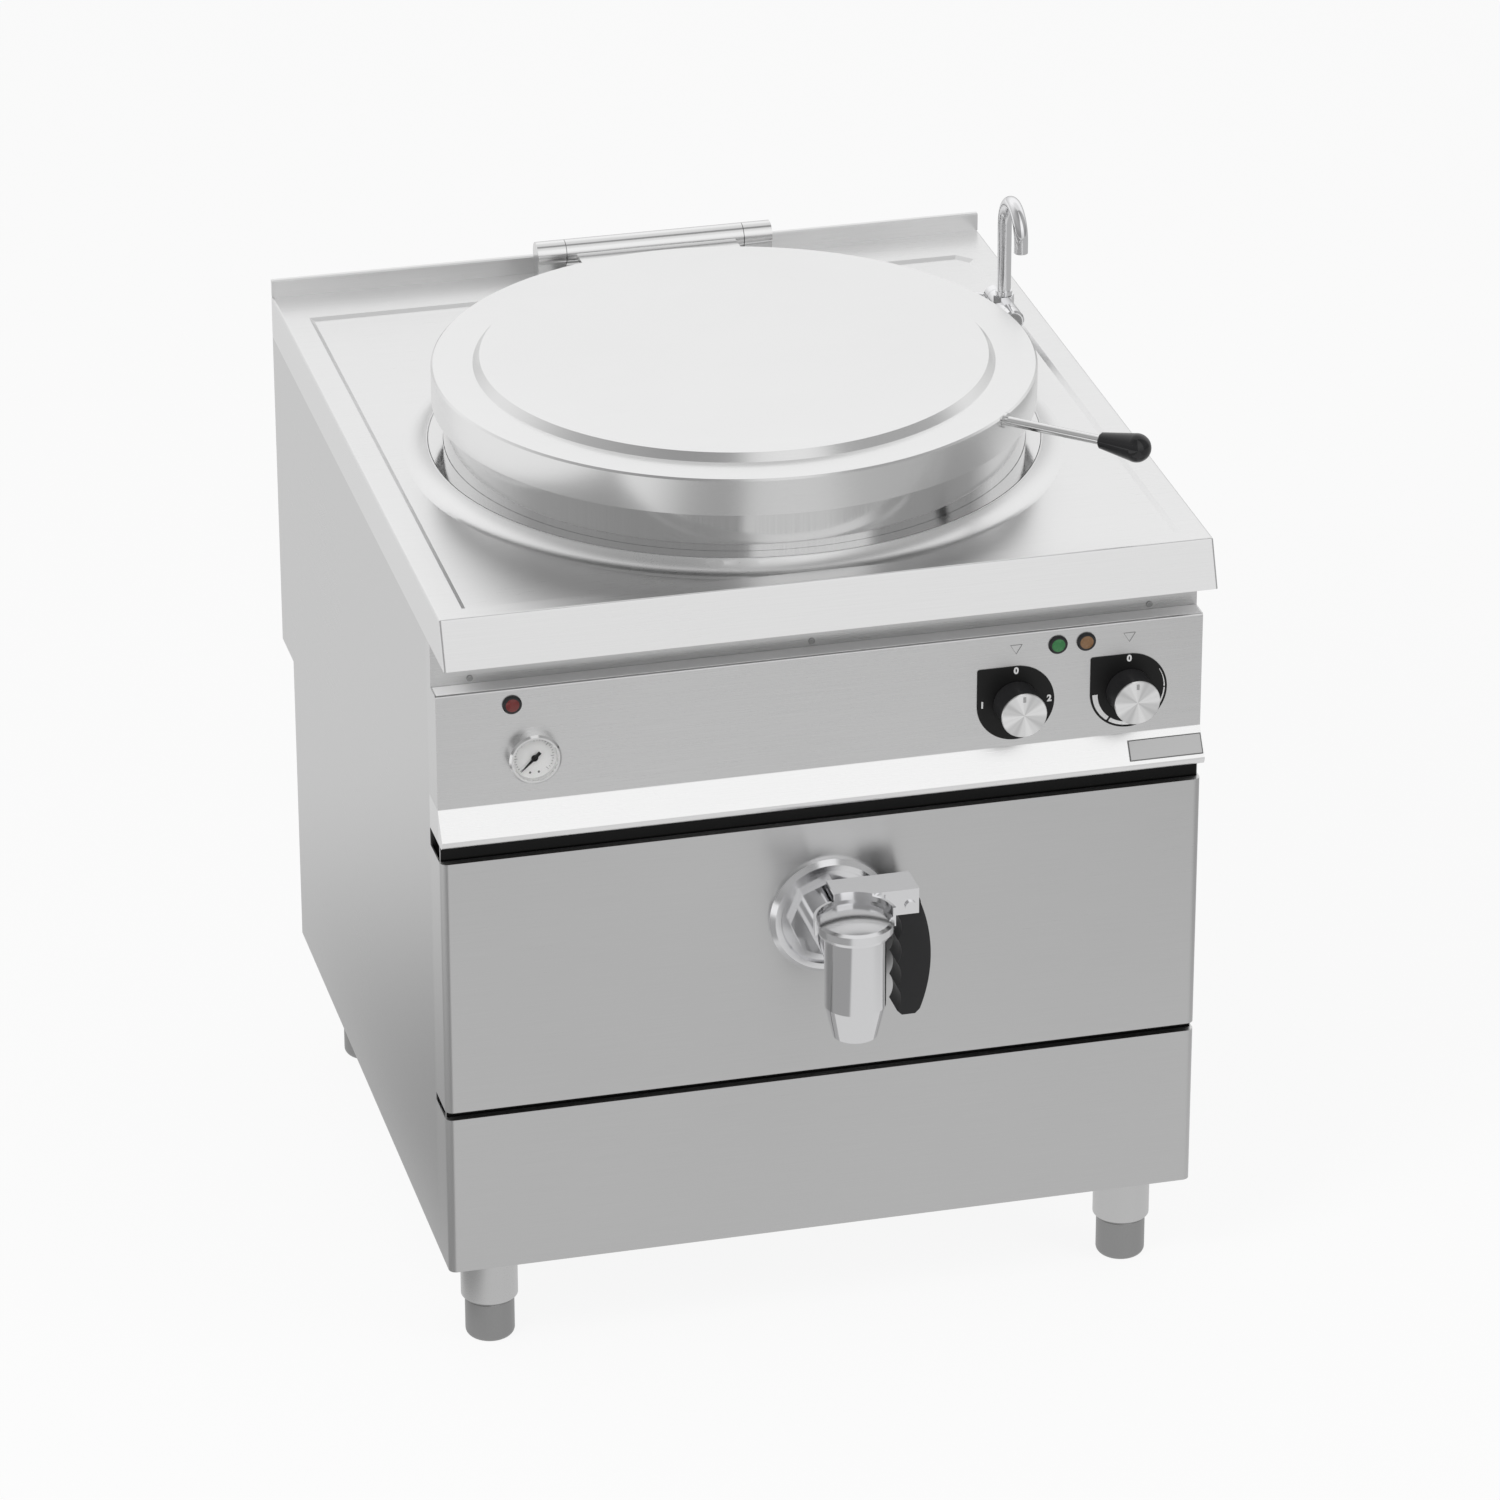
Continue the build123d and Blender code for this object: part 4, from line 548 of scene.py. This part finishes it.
# %% Wedge on the power plate
wedge_radius, thin_end, growth = 0.0386, 0.0004, 0.0052
wedge_start, wedge_sweep, arc_steps = 57, 211, 24


def wedge_point(degree, radius):
    turn = radians(degree)
    return (power_x + radius * sin(turn), plate_front - 0.0001, knob_height + radius * cos(turn))


def wedge_inner(degree):
    return wedge_radius - thin_end - growth * (degree - wedge_start) / wedge_sweep


wedge_parts = ((57, 89), (91, 213), (217, 268))
for number, (start, end) in enumerate(wedge_parts):
    degrees = [start + (end - start) * share / arc_steps for share in range(arc_steps + 1)]
    rim = [wedge_point(degree, wedge_radius) for degree in degrees]
    inner = [wedge_point(degree, wedge_inner(degree)) for degree in reversed(degrees)]
    outline(rim + inner, 0.0002)
    finish_piece(f"power_wedge_{number}", "mark_white")
print("wedge parts:", len(wedge_parts))

# %% [markdown]
# ## Pointer marks on the knobs' caps
# A short grey mark near the cap's edge shows where a knob points. It rides on its knob, so it turns with it.

# %% Pointer marks on the knobs' caps
for dial, middle in dials:
    block((middle, -0.38115, knob_height + 0.018), (0.0028, 0.0003, 0.0058))
    finish_piece(f"{dial}_pointer_mark", "mark_grey", dial)
print("pointer marks:", len(dials))

# %% [markdown]
# ## Gauge scale
# The pressure gauge's dial has ticks over three quarters of a turn, every fifth one longer, and two printed
# dots below the middle. Each tick is a thin bar turned round the dial's axis.

# %% Gauge scale
gauge_x, gauge_z, dial_front = -0.301, 0.693, -0.3525
scale_radius, tick_count, long_tick, short_tick = 0.0205, 31, 0.0034, 0.0018
scale_start, scale_sweep = -135, 270
for number in range(tick_count):
    turn = radians(scale_start + scale_sweep * number / (tick_count - 1))
    length = long_tick if number % 5 == 0 else short_tick
    radius = scale_radius - length / 2
    block((gauge_x + radius * sin(turn), dial_front - 0.0001, gauge_z + radius * cos(turn)),
          (0.0004, 0.0002, length), (0, turn, 0))
    finish_piece(f"gauge_tick_{number}", "line_grey")
for number, across in enumerate((-0.0045, 0.0045)):
    disc((gauge_x + across, dial_front - 0.0001, gauge_z - 0.0165), 0.0012, 0.0002, sides=16)
    finish_piece(f"gauge_dot_{number}", "line_grey")
print("gauge ticks:", tick_count)

# %% [markdown]
# ## Index cap of the mixer tap
# A flat grey cap closes the screw in the front valve's lever. It rides on that valve.

# %% Index cap of the mixer tap
disc((0.348, 0.1694, 0.889), 0.0088, 0.0008, edge=0.0003)
finish_piece("mixer_index_cap", "mark_grey", "front_valve")

# %% [markdown]
# ## Floor
# A pale floor keeps the object's shadow. Bare metal shows only what stands round it, so mirrored rays see the
# floor at other levels than the eye does: they change with the place, as in a studio with screens beside the
# object, and the low level close beside the kettle's left side is a painted shadow of the kettle that only
# mirrored rays see. An even floor would be plainer, and would leave the sheets flat.

# %% Floor
bpy.ops.object.select_all(action="DESELECT")
bpy.ops.mesh.primitive_plane_add(size=60, location=(0, 0, 0))
floor = bpy.context.object
floor.name = "studio_floor"
floor_paint = bpy.data.materials.new("floor_paint")
floor_paint.use_nodes = True
tree = floor_paint.node_tree
tree.nodes.clear()
surface = add_node(tree, "ShaderNodeOutputMaterial")
matt = add_node(tree, "ShaderNodeBsdfDiffuse")
set_inputs(matt, Color=(0.86, 0.86, 0.86, 1))
glow = add_node(tree, "ShaderNodeEmission")
rays = add_node(tree, "ShaderNodeLightPath")
mirrored = rays.outputs["Is Glossy Ray"]
seen = calc(tree, "MAXIMUM", rays.outputs["Is Camera Ray"], rays.outputs["Is Transmission Ray"])
x, y, z = place_of(tree)
# The level close beside the kettle's left side is a painted shadow of the kettle, seen only by mirrored rays.
front_level, near_shadow_level, rear_level, far_left_level, right_level = 0.70, 0.36, 0.78, 0.95, 0.50
white_share = 0.9
side_level = step(tree, y, 0.1, 1.1, near_shadow_level, rear_level)
left_level = blend_value(tree, step(tree, x, -1.8, -1.2, 1.0, 0.0), side_level, far_left_level)
level = blend_value(tree, step(tree, x, -0.52, -0.40, 1.0, 0.0), front_level, left_level)
level = blend_value(tree, step(tree, x, 0.7, 1.3), level, right_level)
join(tree, blend_value(tree, mirrored, 1.0, level), glow.inputs["Strength"])
blend = add_node(tree, "ShaderNodeMixShader")
join(tree, calc(tree, "MAXIMUM", calc(tree, "MULTIPLY", seen, white_share), mirrored), blend.inputs[0])
join(tree, matt.outputs[0], blend.inputs[1])
join(tree, glow.outputs[0], blend.inputs[2])
join(tree, blend.outputs[0], surface.inputs["Surface"])
floor.data.materials.append(floor_paint)
print("floor:", floor.name)

# %% [markdown]
# ## World
# The world is white to the camera, even and weaker as light on the object, and a sweep of greys to mirrored
# rays: bright in front and behind, darker at the sides, and weaker low down and overhead. It stands in for
# screens round the object and was chosen for this view. A plain world would suit other views as well, and
# was set aside because the sheets and the pan then lose their bands of light.

# %% World
world = bpy.data.worlds.new("studio_world")
bpy.context.scene.world = world
world.use_nodes = True
tree = world.node_tree
tree.nodes.clear()
sky_out = add_node(tree, "ShaderNodeOutputWorld")
plain = add_node(tree, "ShaderNodeBackground")
set_inputs(plain, Color=(1, 1, 1, 1), Strength=0.55)
white = add_node(tree, "ShaderNodeBackground")
set_inputs(white, Color=(1, 1, 1, 1), Strength=1.0)
sweep = add_node(tree, "ShaderNodeBackground")
direction = add_node(tree, "ShaderNodeTexCoord")
parts = add_node(tree, "ShaderNodeSeparateXYZ")
join(tree, direction.outputs["Generated"], parts.inputs[0])
front = calc(tree, "MULTIPLY", parts.outputs["Y"], -1.0)
turn = calc(tree, "MULTIPLY_ADD", calc(tree, "ARCTAN2", parts.outputs["X"], front), 1 / (2 * pi), 0.5)
round_level = levels(tree, turn, (
    (0.0, 1.0), (0.10, 1.0), (0.16, 0.75), (0.22, 0.46), (0.36, 0.38), (0.44, 0.38), (0.475, 0.42),
    (0.482, 1.0), (0.608, 1.0), (0.620, 0.40), (0.76, 0.42), (0.80, 0.95), (1.0, 1.0)))
height_level = levels(tree, parts.outputs["Z"], (
    (0.0, 0.65), (0.22, 0.80), (0.34, 0.92), (0.44, 1.0), (0.72, 1.0), (0.84, 0.85), (1.0, 0.75)))
sweep_strength = 1.35
studio_level = calc(tree, "MULTIPLY", round_level, height_level)
studio_level = calc(tree, "MULTIPLY", studio_level, sweep_strength)
join(tree, studio_level, sweep.inputs["Strength"])
rays = add_node(tree, "ShaderNodeLightPath")
first = add_node(tree, "ShaderNodeMixShader")
join(tree, rays.outputs["Is Glossy Ray"], first.inputs[0])
join(tree, plain.outputs[0], first.inputs[1])
join(tree, sweep.outputs[0], first.inputs[2])
second = add_node(tree, "ShaderNodeMixShader")
join(tree, rays.outputs["Is Camera Ray"], second.inputs[0])
join(tree, first.outputs[0], second.inputs[1])
join(tree, white.outputs[0], second.inputs[2])
join(tree, second.outputs[0], sky_out.inputs["Surface"])
print("world:", world.name)

# %% [markdown]
# ## Lamps
# A key at the left and a weaker fill at the right give soft shadows. Mirrored rays don't see them, because
# their squares would show as hard highlights on the round pan and lid.

# %% Lamps
def area_lamp(name, place, target, size, power):
    """A rectangular lamp that mirrored rays don't see."""
    data = bpy.data.lights.new(name, "AREA")
    data.shape = "RECTANGLE"
    data.size, data.size_y = size
    data.energy = power
    lamp = bpy.data.objects.new(name, data)
    bpy.context.scene.collection.objects.link(lamp)
    lamp.location = place
    lamp.rotation_euler = (Vector(target) - Vector(place)).to_track_quat("-Z", "Y").to_euler()
    lamp.visible_glossy = False


area_lamp("key_softbox", (-2.6, -2.2, 3.4), (0, 0, 0.6), (1.6, 1.6), 70)
area_lamp("fill_softbox", (3.0, -2.6, 2.0), (0, 0, 0.6), (1.5, 1.5), 25)
print("lamps:", len(bpy.data.lights))

# %% [markdown]
# ## View settings
# The Standard view shows colours as they are written.

# %% View settings
bpy.context.scene.view_settings.view_transform = "Standard"
